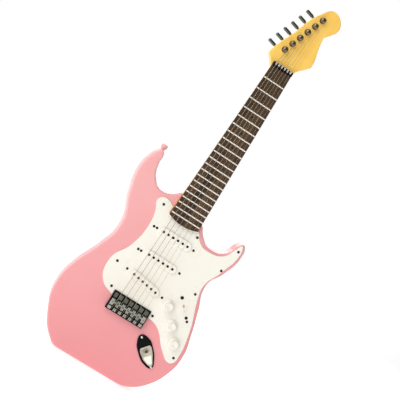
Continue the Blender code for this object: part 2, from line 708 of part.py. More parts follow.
def neck():
    bar = neck_bar()
    low_z, high_z = HEEL_END_Z, HEEL_STEP_Z + TONGUE_LAP
    low, high = half_width(low_z), half_width(high_z)
    plan = ((-low, low_z, "C"), (low, low_z, "C"), (high, high_z, "C"), (-high, high_z, "C"))
    tongue = slab("heel_tongue", plan, TONGUE_FACE, NECK_FACE + HEEL_DEPTH, steps=1)
    head = slab("headstock", HEADSTOCK_OUTLINE, NECK_FACE, HEAD_BACK, rounding=HEAD_ROUNDING)
    join(bar, tongue, head)
    for index, (x, z) in enumerate(NECK_SCREWS):
        ends = (x, HEEL_HOLE_FLOOR_Y, z), (x, 0, z)
        cut(bar, rod(f"heel_hole_{index}", NECK_SCREW_RADIUS + GAP, *ends, 8))
    for index in range(STRING_COUNT):
        ends = at_depths(POST_FIRST + POST_STEP * index, -FAR, 0)
        cut(bar, rod(f"post_hole_{index}", POST_WAIST + GAP, *ends, 10))
    return keep(smooth(bar), MAPLE)


def fret_places():
    """The heights of the frets, from the nut down."""
    place = NUT_Z
    for index in range(FRET_COUNT):
        place -= LEAST_FRET_SPACE + EXTRA_FRET_SPACE * FRET_RATIO**index
        yield place


def fingerboard():
    end, top, corner_z = half_width(BOARD_CORNER_Z), NUT_Z - GAP, BOARD_CORNER_Z
    plan = (
        (-NUT_HALF_WIDTH, top, "C"), (-end, corner_z, "C"), (-14, 276.2), (0, BOARD_END_Z, "H"), (14, 276.2),
        (end, corner_z, "C"), (NUT_HALF_WIDTH, top, "C"),
    )
    board = slab("fingerboard", plan, BOARD_FACE, NECK_FACE - GAP, steps=2)
    for index, z in enumerate(fret_places()):
        reach, half = half_width(z) - FRET_INSET, FRET_WIDE / 2
        low, high = (-reach, BOARD_FACE - FRET_HIGH, z - half), (reach, BOARD_FACE + FRET_ROOT, z + half)
        join(board, block(f"fret_{index + 1}", low, high))
    return keep(board, ROSEWOOD)


def nut():
    half, back = NUT_HALF_WIDTH, NECK_FACE - GAP
    bar = block("nut", (-half, NUT_FRONT, NUT_Z), (half, back, NUT_Z + NUT_THICK))
    for index in range(STRING_COUNT):
        low_x, high_x = string_at_nut(index) - NUT_SLOT_HALF, string_at_nut(index) + NUT_SLOT_HALF
        slot = (low_x, -FAR, NUT_Z - NUT_THICK), (high_x, NUT_SLOT_Y, NUT_Z + 2 * NUT_THICK)
        cut(bar, block(f"nut_slot_{index}", *slot))
    return keep(bar, BLACK)


NECK_PLATE_THICK = 1.6
NECK_PLATE_HALF_WIDTH = 20.0
NECK_PLATE_MARGIN = 6.5  # from the screws' centres to the plate's upper and lower edges
SCREW_HEAD_HIGH = 1.6
SCREW_HEAD_RADIUS = 3.1
SCREW_LONG = 38.5


def neck_plate():
    heights = [z for _, z in NECK_SCREWS]
    front = BODY_FACE + GAP
    low = (-NECK_PLATE_HALF_WIDTH, front, min(heights) - NECK_PLATE_MARGIN)
    high = (NECK_PLATE_HALF_WIDTH, front + NECK_PLATE_THICK, max(heights) + NECK_PLATE_MARGIN)
    plate = block("neck_plate", low, high)
    for index, (x, z) in enumerate(NECK_SCREWS):
        cut(plate, rod(f"plate_hole_{index}", NECK_SCREW_RADIUS + GAP, (x, INNER_Y, z), (x, FAR, z), 8))
    return keep(plate, CHROME)


def neck_screw(index):
    x, z = NECK_SCREWS[index]
    head, shank = SCREW_HEAD_RADIUS, NECK_SCREW_RADIUS
    top_y = BODY_FACE + 2 * GAP + NECK_PLATE_THICK + SCREW_HEAD_HIGH
    profile = (
        (0, 0), (0.7 * head, -0.1), (head, -0.9), (head, -SCREW_HEAD_HIGH), (shank, -SCREW_HEAD_HIGH),
        (shank, -SCREW_LONG + 2), (0, -SCREW_LONG),
    )
    return keep(smooth(turned(f"neck_screw_{index + 1}", profile, (x, top_y, z), (0, 1, 0), 8)), STEEL)


# ---------------------------------------------------------------- tuners
EAR_REACH = 4.2
EAR_THICK = 1.2
EAR_WIDE = 4.4
EAR_MARGIN = 2.3
TUNER_PLATE_HALF_WIDTH = 6.6
TUNER_PLATE_OFFSET = 2.1  # from the posts' line towards the worms
TUNER_PLATE_END = 8.0  # past the first and the last post
PEG_TURN = math.atan2(-PEG_WAY.z, PEG_WAY.x)
BUTTON_REACH = 21.4
BUTTON_LONG = 15.4
BUTTON_WIDE = 5.6
BUTTON_HALF_DEPTH = 3.6
PEG_SHAFT = 0.95
GEAR_RADIUS = 2.95
GEAR_THICK = 3.0
WORM_RADIUS = 1.25
WORM_HALF = 3.2  # half the worm's length


def worm_centre(index):
    post = POST_FIRST + POST_STEP * index
    centre = post - PEG_ACROSS * WORM_OFFSET
    centre.y = WORM_Y
    return centre


def tuner_ear(index, side):
    """One of the two walls that a worm's shaft turns in."""
    centre = worm_centre(index)
    middle, half_thick, half_wide = side * EAR_REACH, EAR_THICK / 2, EAR_WIDE / 2
    return block(
        f"ear_{index}_{side + 1}",
        (middle - half_thick, TUNER_PLATE_FRONT + 0.5, -half_wide),
        (middle + half_thick, WORM_Y + EAR_MARGIN, half_wide),
        PEG_TURN, (centre.x, 0, centre.z),
    )


def tuner_plate():
    lean = math.atan2(POST_STEP.x, POST_STEP.z)
    middle = POST_FIRST + POST_STEP * (STRING_COUNT - 1) / 2 - PEG_ACROSS * TUNER_PLATE_OFFSET
    reach = POST_STEP.length * (STRING_COUNT - 1) / 2 + TUNER_PLATE_END
    half = TUNER_PLATE_HALF_WIDTH
    plate = block(
        "tuner_plate", (-half, TUNER_PLATE_FRONT, -reach), (half, TUNER_PLATE_BACK, reach), lean, middle
    )
    for index in range(STRING_COUNT):
        join(plate, tuner_ear(index, -1), tuner_ear(index, 1))
    for index in range(STRING_COUNT):
        centre = worm_centre(index)
        shaft = PEG_WAY * (EAR_REACH + 2.2)
        cut(plate, rod(f"shaft_way_{index}", PEG_SHAFT + GAP, centre - shaft, centre + shaft, 6))
        ends = at_depths(POST_FIRST + POST_STEP * index, -30, 0)
        cut(plate, rod(f"plate_post_hole_{index}", POST_WAIST + GAP, *ends, 10))
    return keep(plate, CHROME)


def tuner_post(index):
    post = POST_FIRST + POST_STEP * index
    gear_top = NECK_FACE - WORM_Y - GEAR_THICK / 2  # measured forward from the headstock's face
    profile = (
        (0, 9.6), (3.0, 9.0), (4.7, 7.4), (4.7, 6.3), (POST_WAIST, 5.4), (POST_WAIST, gear_top),
        (GEAR_RADIUS, gear_top), (GEAR_RADIUS, gear_top - GEAR_THICK), (0, gear_top - GEAR_THICK),
    )
    shaft = turned(f"tuner_post_{index + 1}", profile, (post.x, NECK_FACE, post.z), (0, -1, 0), 12)
    return keep(smooth(shaft), CHROME)


def tuner_peg(index):
    centre = worm_centre(index)
    half = WORM_HALF
    profile = (
        (0, 15), (2.3, 15), (2.3, 12.2), (1.5, 11.8), (1.5, 5.2), (PEG_SHAFT, 5.2), (PEG_SHAFT, half + 0.1),
        (WORM_RADIUS, half), (WORM_RADIUS, -half), (PEG_SHAFT, -half - 0.1), (PEG_SHAFT, -5.6), (0, -5.6),
    )
    peg = turned(f"tuner_peg_{index + 1}", profile, centre, PEG_WAY, 8)
    middle = centre + PEG_WAY * BUTTON_REACH
    button = slab(
        f"peg_button_{index}", round_ended(BUTTON_LONG, BUTTON_WIDE), WORM_Y - BUTTON_HALF_DEPTH,
        WORM_Y + BUTTON_HALF_DEPTH, rounding=0.8, steps=1, turn_y=PEG_TURN, place=(middle.x, 0, middle.z),
    )
    join(peg, button)
    return keep(smooth(peg), BLACK)


# ---------------------------------------------------------------- controls
POT_RADIUS = 7.0
POT_FRONT = -15.0
POT_FLOOR = -9.6
SHAFT_END_Y = POT_FLOOR - 0.6
CIRCUIT_BACK = -6.4
CIRCUIT_THICK = 1.6
CIRCUIT_HALF = (41.0, 12.0)  # half its length, half its width
LEVER_HALF = 1.0
LEVER_TIP_HALF = (2.1, 1.9)
LEVER_TIP_Y = (-36.5, -27.5)
LEVER_HUB_RADIUS = 1.8
LEVER_HUB_HALF = 2.0
JACK_PLATE_FRONT = -23.4
DISH_FRONT = -22.8
DISH_FLOOR = 1.4
DISH_WALL = 1.3
SOCKET_BACK_Y = 2.5


def knob(name):
    x, z = KNOB_PLACES[name]
    base = -GUARD_FRONT + GAP
    shaft = SHAFT_END_Y + base  # how far the shaft reaches behind the knob's skirt
    profile = (
        (0, 12.6), (5.6, 12.6), (6.5, 11.9), (7.1, 4.2), (10.1, 2.4), (10.3, 0), (SHAFT_RADIUS, 0),
        (SHAFT_RADIUS, -shaft), (0, -shaft),
    )
    return keep(smooth(turned(name, profile, (x, -base, z), (0, -1, 0), 20)), IVORY)


def circuit_board():
    half_long, half_wide = CIRCUIT_HALF
    low, high = (-half_long, CIRCUIT_BACK - CIRCUIT_THICK, -half_wide), (half_long, CIRCUIT_BACK, half_wide)
    board = block("circuit_board", low, high, BOARD_TURN, BOARD_PLACE)
    for name, (x, z) in KNOB_PLACES.items():
        join(board, rod(f"{name}_pot", POT_RADIUS, (x, POT_FRONT, z), (x, CIRCUIT_BACK - 0.6, z), 14))
        cut(board, rod(f"{name}_pot_hole", SHAFT_RADIUS + 0.4, (x, POT_FRONT - 5, z), (x, POT_FLOOR, z), 14))
    join(board, block("sound_chip", (-19.5, -10.4, -5.5), (-10.5, -7.5, 5.5), BOARD_TURN, BOARD_PLACE))
    return keep(smooth(board), GREEN)


def selector_lever():
    pivot = SELECTOR_PLACE + Vector((0, SELECTOR_PIVOT_Y, 0))
    across = Matrix.Rotation(SELECTOR_TURN, 3, "Y") @ Vector((0, 0, 1))
    half, tip_half = LEVER_HALF, LEVER_TIP_HALF
    tip_front, tip_back = LEVER_TIP_Y
    low, high = (-half, (tip_front + tip_back) / 2, -half), (half, SELECTOR_PIVOT_Y, half)
    lever = block("selector_lever", low, high, SELECTOR_TURN, SELECTOR_PLACE)
    tip_low, tip_high = (-tip_half[0], tip_front, -tip_half[1]), (tip_half[0], tip_back, tip_half[1])
    tip = block("selector_tip", tip_low, tip_high, SELECTOR_TURN, SELECTOR_PLACE)
    hub_end = across * LEVER_HUB_HALF
    join(lever, tip, rod("selector_hub", LEVER_HUB_RADIUS, pivot - hub_end, pivot + hub_end, 12))
    set_origin(lever, pivot)
    return keep(lever, IVORY)


def selector_body():
    frame = block("selector_body", (-16, -17.6, -4.4), (16, -9.0, 4.4), SELECTOR_TURN, SELECTOR_PLACE)
    cut(frame, block("selector_room", (-9, -30, -2.4), (9, -10.6, 2.4), SELECTOR_TURN, SELECTOR_PLACE))
    return keep(frame, BLACK)


def jack_shape(name, outline, front, back, grow=0.0, rounding=0.0):
    return slab(
        name, outline, front, back, grow=grow, rounding=rounding, steps=2, turn_y=JACK_TURN, place=JACK_PLACE
    )


def jack_hole():
    return JACK_PLACE + Matrix.Rotation(JACK_TURN, 3, "Y") @ Vector((JACK_HOLE_ALONG, 0.0, 0.0))


def jack_plate():
    plate = jack_shape("jack_plate", JACK_PLATE_OUTLINE, JACK_PLATE_FRONT, GUARD_BACK, rounding=0.6)
    cut(plate, jack_shape("dish_window", JACK_DISH_OUTLINE, -FAR, -INNER_Y, grow=GAP))
    return keep(smooth(plate), BLACK)


def jack_dish():
    dish = jack_shape("jack_dish", JACK_DISH_OUTLINE, DISH_FRONT, DISH_BACK_Y)
    cut(dish, jack_shape("dish_room", JACK_DISH_OUTLINE, -FAR, DISH_BACK_Y - DISH_FLOOR, grow=-DISH_WALL))
    cut(dish, rod("socket_window", SOCKET_RADIUS + GAP, *at_depths(jack_hole(), -20, -5), 14))
    return keep(smooth(dish), CHROME)


def jack_socket():
    socket = rod("jack_socket", SOCKET_RADIUS, *at_depths(jack_hole(), DISH_BACK_Y - 3.0, SOCKET_BACK_Y), 14)
    cut(socket, rod("plug_hole", SOCKET_BORE, *at_depths(jack_hole(), -20, 0), 12))
    return keep(smooth(socket), BLACK)


# ---------------------------------------------------------------- sound and power
def behind_grille(name, profile, sides):
    """A turned piece whose profile's heights run forward from the back wall's inner face."""
    x, z = SPEAKER_PLACE
    return smooth(turned(name, profile, (x, BODY_FACE - BODY_WALL - GAP, z), (0, -1, 0), sides))


def speaker_frame():
    rim = SPEAKER_RADIUS
    profile = (
        (0, 15.0), (9.0, 15.0), (9.0, 7.6), (16.0, 2.0), (rim, 1.6), (rim, 0.0), (18.6, 0.0), (18.6, 0.6),
        (15.0, 2.6), (7.6, 8.4), (7.6, 11.0), (0, 11.0),
    )
    return keep(behind_grille("speaker_frame", profile, 16), STEEL)


def speaker_cone():
    profile = (
        (0, 3.6), (5.0, 7.0), (6.2, 7.0), (14.6, 1.7), (18.0, 0.5), (18.0, 0.1), (14.4, 0.8), (5.6, 5.8),
        (0, 2.4),
    )
    return keep(behind_grille("speaker_cone", profile, 14), PAPER)


BATTERY_RADIUS = 7.1
BATTERY_HALF = 24.0  # half the can's length
BATTERY_NUB = 1.2
BATTERY_Y = 11.2
BATTERY_HEIGHTS = (43.9, 60.1)
CONTACT_THICK = 0.6
CONTACT_LOW = (6.0, 38.0)  # y, z
CONTACT_HIGH = (16.4, 66.0)
SLIDER_TAIL = 4.0  # how far the base runs past the slot's left end
SLIDER_BASE_THICK = 1.2
SLIDER_LIP = 1.7
SLIDER_STEM_LONG = 6.0
SLIDER_PROUD = 1.6
# Both batteries end against the right contact, so the springs take up the room on the left.
BATTERY_RIGHT_X = BATTERY_BOX[1] - GAP - CONTACT_THICK - GAP
BATTERY_LEFT_X = BATTERY_RIGHT_X - 2 * BATTERY_HALF - BATTERY_NUB


def battery(index):
    """The two batteries lie head to tail."""
    side = 1 if index == 0 else -1
    can_end = BATTERY_LEFT_X if side == 1 else BATTERY_RIGHT_X
    place = (can_end + side * BATTERY_HALF, BATTERY_Y, BATTERY_HEIGHTS[index])
    half, nub = BATTERY_HALF, BATTERY_HALF + BATTERY_NUB
    profile = ((0, nub), (2.6, nub), (2.6, half), (BATTERY_RADIUS, half), (BATTERY_RADIUS, -half), (0, -half))
    return keep(smooth(turned(f"battery_{index + 1}", profile, place, (side, 0, 0), 16)), JACKET)


def contact(name, x):
    (low_y, low_z), (high_y, high_z) = CONTACT_LOW, CONTACT_HIGH
    return block(name, (x, low_y, low_z), (x + CONTACT_THICK, high_y, high_z))


def battery_spring():
    """The plate on the left wall, with a coned spring, drawn as a hollow cone, for each battery."""
    x = BATTERY_BOX[0] + GAP
    plate = contact("battery_spring", x)
    reach = BATTERY_LEFT_X - GAP - x
    profile = ((2.0, reach), (2.7, reach), (3.4, 0.3), (2.6, 0.3), (2.0, reach))
    for index, z in enumerate(BATTERY_HEIGHTS):
        join(plate, turned(f"spring_{index}", profile, (x, BATTERY_Y, z), (1, 0, 0), 12))
    return keep(plate, STEEL)


def battery_contact():
    return keep(contact("battery_contact", BATTERY_RIGHT_X + GAP), STEEL)


def battery_door():
    pivot_y, pivot_z = DOOR_PIVOT
    half, pin = DOOR_HALF_WIDTH, DOOR_PIN_REACH
    door = block("battery_door", (-half, BODY_FACE - 1.9, pivot_z), (half, BODY_FACE - 0.1, DOOR_TOP_Z))
    barrel_ends = (-half, pivot_y, pivot_z), (half, pivot_y, pivot_z)
    join(door, rod("door_barrel", DOOR_BARREL_RADIUS, *barrel_ends, 12))
    pin_ends = (-pin, pivot_y, pivot_z), (pin, pivot_y, pivot_z)
    join(door, rod("door_pins", DOOR_PIN_RADIUS, *pin_ends, 8))
    set_origin(door, (0, pivot_y, pivot_z))
    return keep(door, PINK)


def power_slider():
    """Its stem is at the slot's left end, and its base hides the slot wherever it stands."""
    inner = BODY_FACE - BODY_WALL - GAP
    low_x, high_x, low_z, high_z = POWER_SLOT
    base_low = (low_x - SLIDER_TAIL, inner - SLIDER_BASE_THICK, low_z - SLIDER_LIP)
    slider = block("power_slider", base_low, (high_x, inner, high_z + SLIDER_LIP))
    stem_low = (low_x + GAP, inner - SLIDER_BASE_THICK / 2, low_z + GAP)
    stem_high = (low_x + GAP + SLIDER_STEM_LONG, BODY_FACE + SLIDER_PROUD, high_z - GAP)
    join(slider, block("slider_stem", stem_low, stem_high))
    return keep(slider, BLACK)


def build():
    body_front()
    body_back()
    pickguard()
    for pickup in PICKUPS:
        pickup_cover(pickup)
        pickup_poles(pickup)
    bridge_plate()
    neck()
    fingerboard()
    nut()
    neck_plate()
    for index in range(len(NECK_SCREWS)):
        neck_screw(index)
    tuner_plate()
    for index in range(STRING_COUNT):
        saddle(index)
        string(index)
        tuner_post(index)
        tuner_peg(index)
    for name in KNOB_PLACES:
        knob(name)
    selector_body()
    selector_lever()
    jack_plate()
    jack_dish()
    jack_socket()
    circuit_board()
    speaker_frame()
    speaker_cone()
    battery(0)
    battery(1)
    battery_spring()
    battery_contact()
    battery_door()
    power_slider()


build()
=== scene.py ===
"""The looks of the toy electric guitar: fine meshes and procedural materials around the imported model.

Numbers are in millimetres, as in the part's source, and the helpers turn them into metres. +Z runs along
the neck, +X is the treble side and the strings face -Y.
"""

import functools
import math

import bmesh
import bpy
from mathutils import Matrix, Vector

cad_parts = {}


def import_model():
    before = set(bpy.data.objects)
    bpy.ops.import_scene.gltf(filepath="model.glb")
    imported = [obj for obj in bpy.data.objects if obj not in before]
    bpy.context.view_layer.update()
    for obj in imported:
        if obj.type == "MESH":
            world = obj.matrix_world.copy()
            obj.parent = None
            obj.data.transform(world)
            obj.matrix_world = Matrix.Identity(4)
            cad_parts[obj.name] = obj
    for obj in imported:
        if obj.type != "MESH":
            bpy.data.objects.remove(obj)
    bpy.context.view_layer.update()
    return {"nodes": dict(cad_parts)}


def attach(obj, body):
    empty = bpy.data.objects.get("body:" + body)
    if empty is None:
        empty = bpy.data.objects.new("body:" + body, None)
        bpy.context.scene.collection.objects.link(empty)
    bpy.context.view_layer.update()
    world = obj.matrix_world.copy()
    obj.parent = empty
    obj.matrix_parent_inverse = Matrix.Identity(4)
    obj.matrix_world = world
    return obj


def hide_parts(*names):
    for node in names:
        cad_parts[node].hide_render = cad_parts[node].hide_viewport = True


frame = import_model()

MM = 0.001
GAP = 0.3
SNUG = 0.06  # where two fitted pieces show only a hairline between them
WELD = 1e-6  # metres
STRAIGHT = math.radians(0.3)
FAR = 60.0  # how far a cutter reaches past the face that it opens
PAST_SIDE, PAST_TOP = 200.0, 400.0  # past the body's edges
INSIDE = 10.0  # a depth inside the hollow of either shell, measured from the middle
ROOT = "guitar_body"

# ---------------- sizes shared with the CAD model
BODY_FACE = 21.0
BODY_WALL = 2.6
BODY_ROUNDING = 3.4
SEAM_Y = 5.0
GUARD_BACK = -BODY_FACE - GAP
GUARD_FRONT = GUARD_BACK - 1.6
NECK_FACE = -24.5
HEEL_DEPTH = 18.5
HEEL_END_Z = 262.0
HEEL_STEP_Z = 281.3
POCKET_TOP_Z = 340.0
POCKET_FLOOR_Y = NECK_FACE + HEEL_DEPTH + GAP
BOARD_FACE = NECK_FACE - GAP - 5.0
BOARD_END_Z = 275.0
BOARD_CORNER_Z = 280.3
NUT_Z = 573.0
NUT_HALF_WIDTH = 18.6
NUT_THICK = 7.0
NUT_FRONT = -32.4
NUT_SLOT_Y = -30.7
NECK_TAPER = 0.0296
HEAD_BACK = NECK_FACE + 12.5
STRINGS = range(6)
MIDDLE = 2.5  # the index halfway between the first and the last string
STRING_RADIUS = 0.4
BRIDGE_PITCH = 9.7
NUT_PITCH = 5.56
POST_FIRST = Vector((-13.7, 0.0, 605.2))
POST_STEP = Vector((5.4, 0.0, 14.6))
POST_WAIST = 2.7
PEG_WAY = Vector((-0.970, 0.0, 0.243)).normalized()
PEG_ACROSS = Vector((0.243, 0.0, 0.970)).normalized()
PEG_TURN = math.atan2(-PEG_WAY.z, PEG_WAY.x)
WORM_OFFSET = 4.4
WORM_Y = -8.7
KNOB_PLACES = {
    "volume_knob": (53.8, 153.0),
    "tone_knob_upper": (75.8, 128.0),
    "tone_knob_lower": (94.8, 105.0),
}
SHAFT_RADIUS = 3.0
SELECTOR_PLACE = Vector((77.3, 0.0, 163.5))
SELECTOR_TURN = math.radians(46.2)
SELECTOR_PIVOT_Y = -13.0
SELECTOR_REACH = 5.0  # half the length of the slot that the lever moves in
JACK_PLACE = Vector((63.6, 0.0, 70.5))
JACK_TURN = math.radians(39.9)
JACK_HOLE_ALONG = 2.0
SOCKET_RADIUS = 4.5
DISH_BACK_Y = -11.6
JACK_WELL_FLOOR_Y = 2.8
JACK_WELL_WALL = 1.6
SPEAKER_X, SPEAKER_Z = 0.0, 150.0
BATTERY_BOX = (-29.0, 29.0, 35.0, 69.0)
BATTERY_FLOOR_Y = 3.4
DOOR_PIVOT_Y, DOOR_PIVOT_Z = 19.9, 33.0
DOOR_HALF_WIDTH = 34.6
DOOR_TOP_Z = 72.0
DOOR_PIN_REACH = 36.4
POWER_SLOT = (-62.0, -51.4, 48.7, 53.3)
NECK_SCREWS = ((-14.0, 266.0), (14.0, 266.0), (-14.0, 285.0), (14.0, 285.0))
SHELL_BOSSES = (
    (-99.0, 75.0), (-48.0, 15.0), (62.0, 20.0), (97.0, 64.0),
    (-68.0, 205.0), (74.0, 205.0), (-93.0, 322.0), (100.0, 268.0),
)
STRAP_BUTTON = (-90.7, -1.0)
STRAP_BUTTON_TOP_Z = 371.2

# Each outline point is (x, z), with a smooth curve through it. "H" or "V" makes the curve level or upright
# there, and "C" makes a corner.
BODY_OUTLINE = (
    (-62, 0, "H"), (44, 0, "H"), (70, 4.6), (98.7, 28), (116, 61), (120.8, 90, "V"), (113, 131), (100.6, 172),
    (88.8, 211, "V"), (103.5, 245), (113.2, 282, "V"), (111.6, 296), (105.6, 302.6, "H"), (99.6, 296.6),
    (94.6, 284.5), (82, 271.2), (62, 267.3, "H"), (42.5, 277), (31, 292, "C"), (-28, 320, "C"), (-40, 310),
    (-57, 305.3, "H"), (-76.5, 317.5), (-85.2, 340), (-86.4, 356.6), (-91.6, 362.2, "H"), (-97.2, 357),
    (-103.6, 344), (-108.3, 319, "V"), (-100.5, 277), (-83.6, 220, "V"), (-93.5, 180), (-113, 134),
    (-121.7, 92, "V"), (-108.5, 44), (-85, 11),
)
PICKGUARD_OUTLINE = (
    (-28.2, 293.6, "C"), (-44.5, 299.6, "H"), (-56.3, 290, "V"), (-50, 275), (-45.4, 247, "V"), (-52, 206),
    (-69.9, 164, "V"), (-59, 132), (-35.2, 120.4, "C"), (-35.2, 130.4, "C"), (35.2, 130.4, "C"),
    (35.2, 119.6, "C"), (56, 113.5), (87, 83), (104.5, 73.2, "H"), (114, 84, "V"), (107.5, 133), (88, 190),
    (84.8, 207, "V"), (98, 244.5), (108.5, 286, "V"), (103.8, 299.3, "H"), (98.5, 290), (87, 270),
    (59.5, 262.2, "H"), (41, 268), (31.4, 280.4, "C"), (28.2, 281.0, "C"), (-28.2, 281.0, "C"),
)
HEADSTOCK_OUTLINE = (
    (-18.6, 571, "C"), (-24.5, 579.5), (-32.2, 588.5), (-30.8, 599), (-17, 633), (5.5, 686),
    (23.5, 701.8, "H"), (45, 681, "V"), (37, 664.5), (30, 656.3, "C"), (33, 638), (39.2, 607, "V"),
    (33.5, 597.5), (21, 583), (18.6, 571, "C"),
)
JACK_PLATE_OUTLINE = (
    (-29.5, 0, "V"), (-17, 11.5), (-5, 12.4), (16, 8.4), (29.5, -0.5, "V"), (18.5, -10.6), (-5, -13.2),
    (-17, -11.2),
)
JACK_DISH_OUTLINE = (
    (-7.9, -6.9, "V"), (-7.9, 7.5, "V"), (-6.1, 9.4), (1.3, 9.4), (14, 6.2), (26.4, 0.0, "V"), (16, -7.6),
    (6, -9.6), (-5.9, -8.9),
)


# ---------------- node trees
class Tree:
    """The node tree of a new material or world, with short calls to add and join nodes."""

    def __init__(self, name, kind="materials", shader="Principled BSDF"):
        self.owner = getattr(bpy.data, kind).new(name)
        self.owner.use_nodes = True
        self.nodes = self.owner.node_tree.nodes
        self.links = self.owner.node_tree.links
        self.shader = self.nodes[shader]

    def add(self, kind, settings=None, **inputs):
        made = self.nodes.new("ShaderNode" + kind)
        for key, value in (settings or {}).items():
            setattr(made, key, value)
        for key, value in inputs.items():
            self.put(made, key.replace("_", " "), value)
        return made

    def put(self, target, socket, value):
        """Sets a socket to a number or colour, or links it to another node's socket."""
        if isinstance(value, bpy.types.NodeSocket):
            self.links.new(value, target.inputs[socket])
        else:
            target.inputs[socket].default_value = value

    def place(self, stretch=(1, 1, 1), turn=(0, 0, 0)):
        """Coordinates in metres in the guitar's frame, stretched and turned."""
        coordinates = self.add("TexCoord").outputs["Object"]
        return self.add("Mapping", Vector=coordinates, Scale=stretch, Rotation=turn).outputs["Vector"]

    def noise(self, scale, detail=3.0, stretch=(1, 1, 1), roughness=0.5, distortion=0.0):
        made = self.add(
            "TexNoise", Vector=self.place(stretch), Scale=scale, Detail=detail, Roughness=roughness,
            Distortion=distortion,
        )
        return made.outputs["Fac"]

    def ramp(self, value, *stops):
        """A colour ramp through (position, colour) stops."""
        made = self.add("ValToRGB", Fac=value)
        band = made.color_ramp
        while len(band.elements) < len(stops):
            band.elements.new(0.5)
        for element, (position, colour) in zip(band.elements, stops):
            element.position = position
            element.color = (*colour, 1.0)
        return made.outputs["Color"]

    def span(self, value, low, high, start=0.0, end=1.0):
        """Low to high where the value goes from start to end."""
        made = self.add("MapRange", Value=value, From_Min=start, From_Max=end, To_Min=low, To_Max=high)
        return made.outputs["Result"]

    def mix(self, factor, colour, value, *stops, blend="MIX"):
        """A colour mixed with a ramp of a value. The node's colours are inputs 6 and 7 and output 2."""
        made = self.add("Mix", {"data_type": "RGBA", "blend_type": blend}, Factor=factor)
        self.put(made, 6, colour)
        self.put(made, 7, self.ramp(value, *stops))
        return made.outputs[2]

    def math(self, operation, first, second):
        made = self.add("Math", {"operation": operation})
        self.put(made, 0, first)
        self.put(made, 1, second)
        return made.outputs[0]

    def bump(self, *layers):
        """Bump from (height, depth in millimetres) layers, laid on each other."""
        normal = None
        for height, depth in layers:
            made = self.add("Bump", Height=height, Distance=depth * MM, Strength=1.0)
            if normal is not None:
                self.links.new(normal, made.inputs["Normal"])
            normal = made.outputs["Normal"]
        self.links.new(normal, self.shader.inputs["Normal"])

    def finish(self, **inputs):
        for key, value in inputs.items():
            self.put(self.shader, key.replace("_", " "), value)
        return self.owner


# ---------------- materials
WHITE = (1.0, 1.0, 1.0)
WEAR = 0.05  # how far handling changes the roughness


def worn_roughness(tree, base):
    """Roughness with cloudy handling marks and fine hairline scuffs."""
    clouds = tree.span(tree.noise(28.0, 4.0), base - WEAR, base + WEAR, 0.3, 0.7)
    scuffs = tree.span(tree.noise(160.0, 2.0, (1, 1, 0.06)), 0.0, WEAR * 1.6, 0.62, 0.8)
    return tree.math("ADD", clouds, scuffs)


def moulded_plastic(name, deep, light, roughness, coat, peel=0.012, specular=0.5):
    """Glossy moulded plastic: slow colour drift, orange peel and faint handling marks."""
    tree = Tree(name)
    drift = tree.ramp(tree.noise(9.0, 2.0), (0.32, deep), (0.68, light))
    speck = tree.span(tree.noise(900.0, 2.0), 0.97, 1.0, 0.35, 0.6)
    tree.bump((tree.noise(420.0, 2.0), peel), (tree.noise(26.0, 1.0), peel * 1.5))
    return tree.finish(
        Base_Color=tree.mix(1.0, drift, speck, (0.9, (0.95, 0.95, 0.95)), (1.0, WHITE), blend="MULTIPLY"),
        Roughness=worn_roughness(tree, roughness), Coat_Weight=coat, Coat_Roughness=0.14,
        Specular_IOR_Level=specular,
    )


def body_pink():
    """The body's pink with painted light and shade: lighter on the upper left bout, where the key light
    falls, and deeper towards the lower end.
    """
    tree = Tree("body_pink")
    axes = tree.add("SeparateXYZ", Vector=tree.add("TexCoord").outputs["Object"])
    lean = tree.math("ADD", axes.outputs["Z"], tree.math("MULTIPLY", axes.outputs["X"], -0.55))
    # Painted light and shade: the pink lightens towards the upper left, where the key light falls, and
    # deepens towards the lower end.
    painted_light_fade = tree.ramp(
        tree.span(lean, 0.0, 1.0, 0.02, 0.34), (0.0, (0.925, 0.335, 0.352)), (0.55, (0.93, 0.385, 0.392)),
        (1.0, (0.93, 0.445, 0.438)),
    )
    drift = (0.3, (0.965, 0.955, 0.955)), (0.7, WHITE)
    tree.bump((tree.noise(380.0, 2.0), 0.008), (tree.noise(24.0, 1.0), 0.02))
    return tree.finish(
        Base_Color=tree.mix(1.0, painted_light_fade, tree.noise(11.0, 3.0), *drift, blend="MULTIPLY"),
        Roughness=worn_roughness(tree, 0.34), Coat_Weight=0.3, Coat_Roughness=0.16,
    )


def maple():
    """Varnished pale maple with its grain along the neck, faint flame across it and small dark flecks."""
    tree = Tree("varnished_maple")
    grain = tree.noise(130.0, 5.0, (1, 1, 0.045), 0.6, 0.25)
    rings = tree.noise(26.0, 3.0, (1, 1, 0.10), 0.55, 0.6)
    flame = tree.noise(60.0, 2.0, (0.25, 0.25, 1))
    flecks = tree.noise(1300.0, 1.0, (1, 1, 0.04))
    colour = tree.ramp(
        grain, (0.25, (0.93, 0.51, 0.075)), (0.5, (1.0, 0.63, 0.115)), (0.78, (1.0, 0.72, 0.175))
    )
    colour = tree.mix(0.28, colour, rings, (0.35, (0.92, 0.46, 0.055)), (0.65, (1.0, 0.70, 0.18)))
    colour = tree.mix(0.12, colour, flame, (0.4, (0.78, 0.42, 0.08)), (0.62, (1.0, 0.76, 0.26)))
    colour = tree.mix(0.22, colour, flecks, (0.30, (0.88, 0.80, 0.68)), (0.40, WHITE), blend="MULTIPLY")
    tree.bump((grain, 0.02), (tree.noise(40.0), 0.04))
    return tree.finish(
        Base_Color=colour, Roughness=worn_roughness(tree, 0.34), Coat_Weight=0.25, Coat_Roughness=0.12
    )


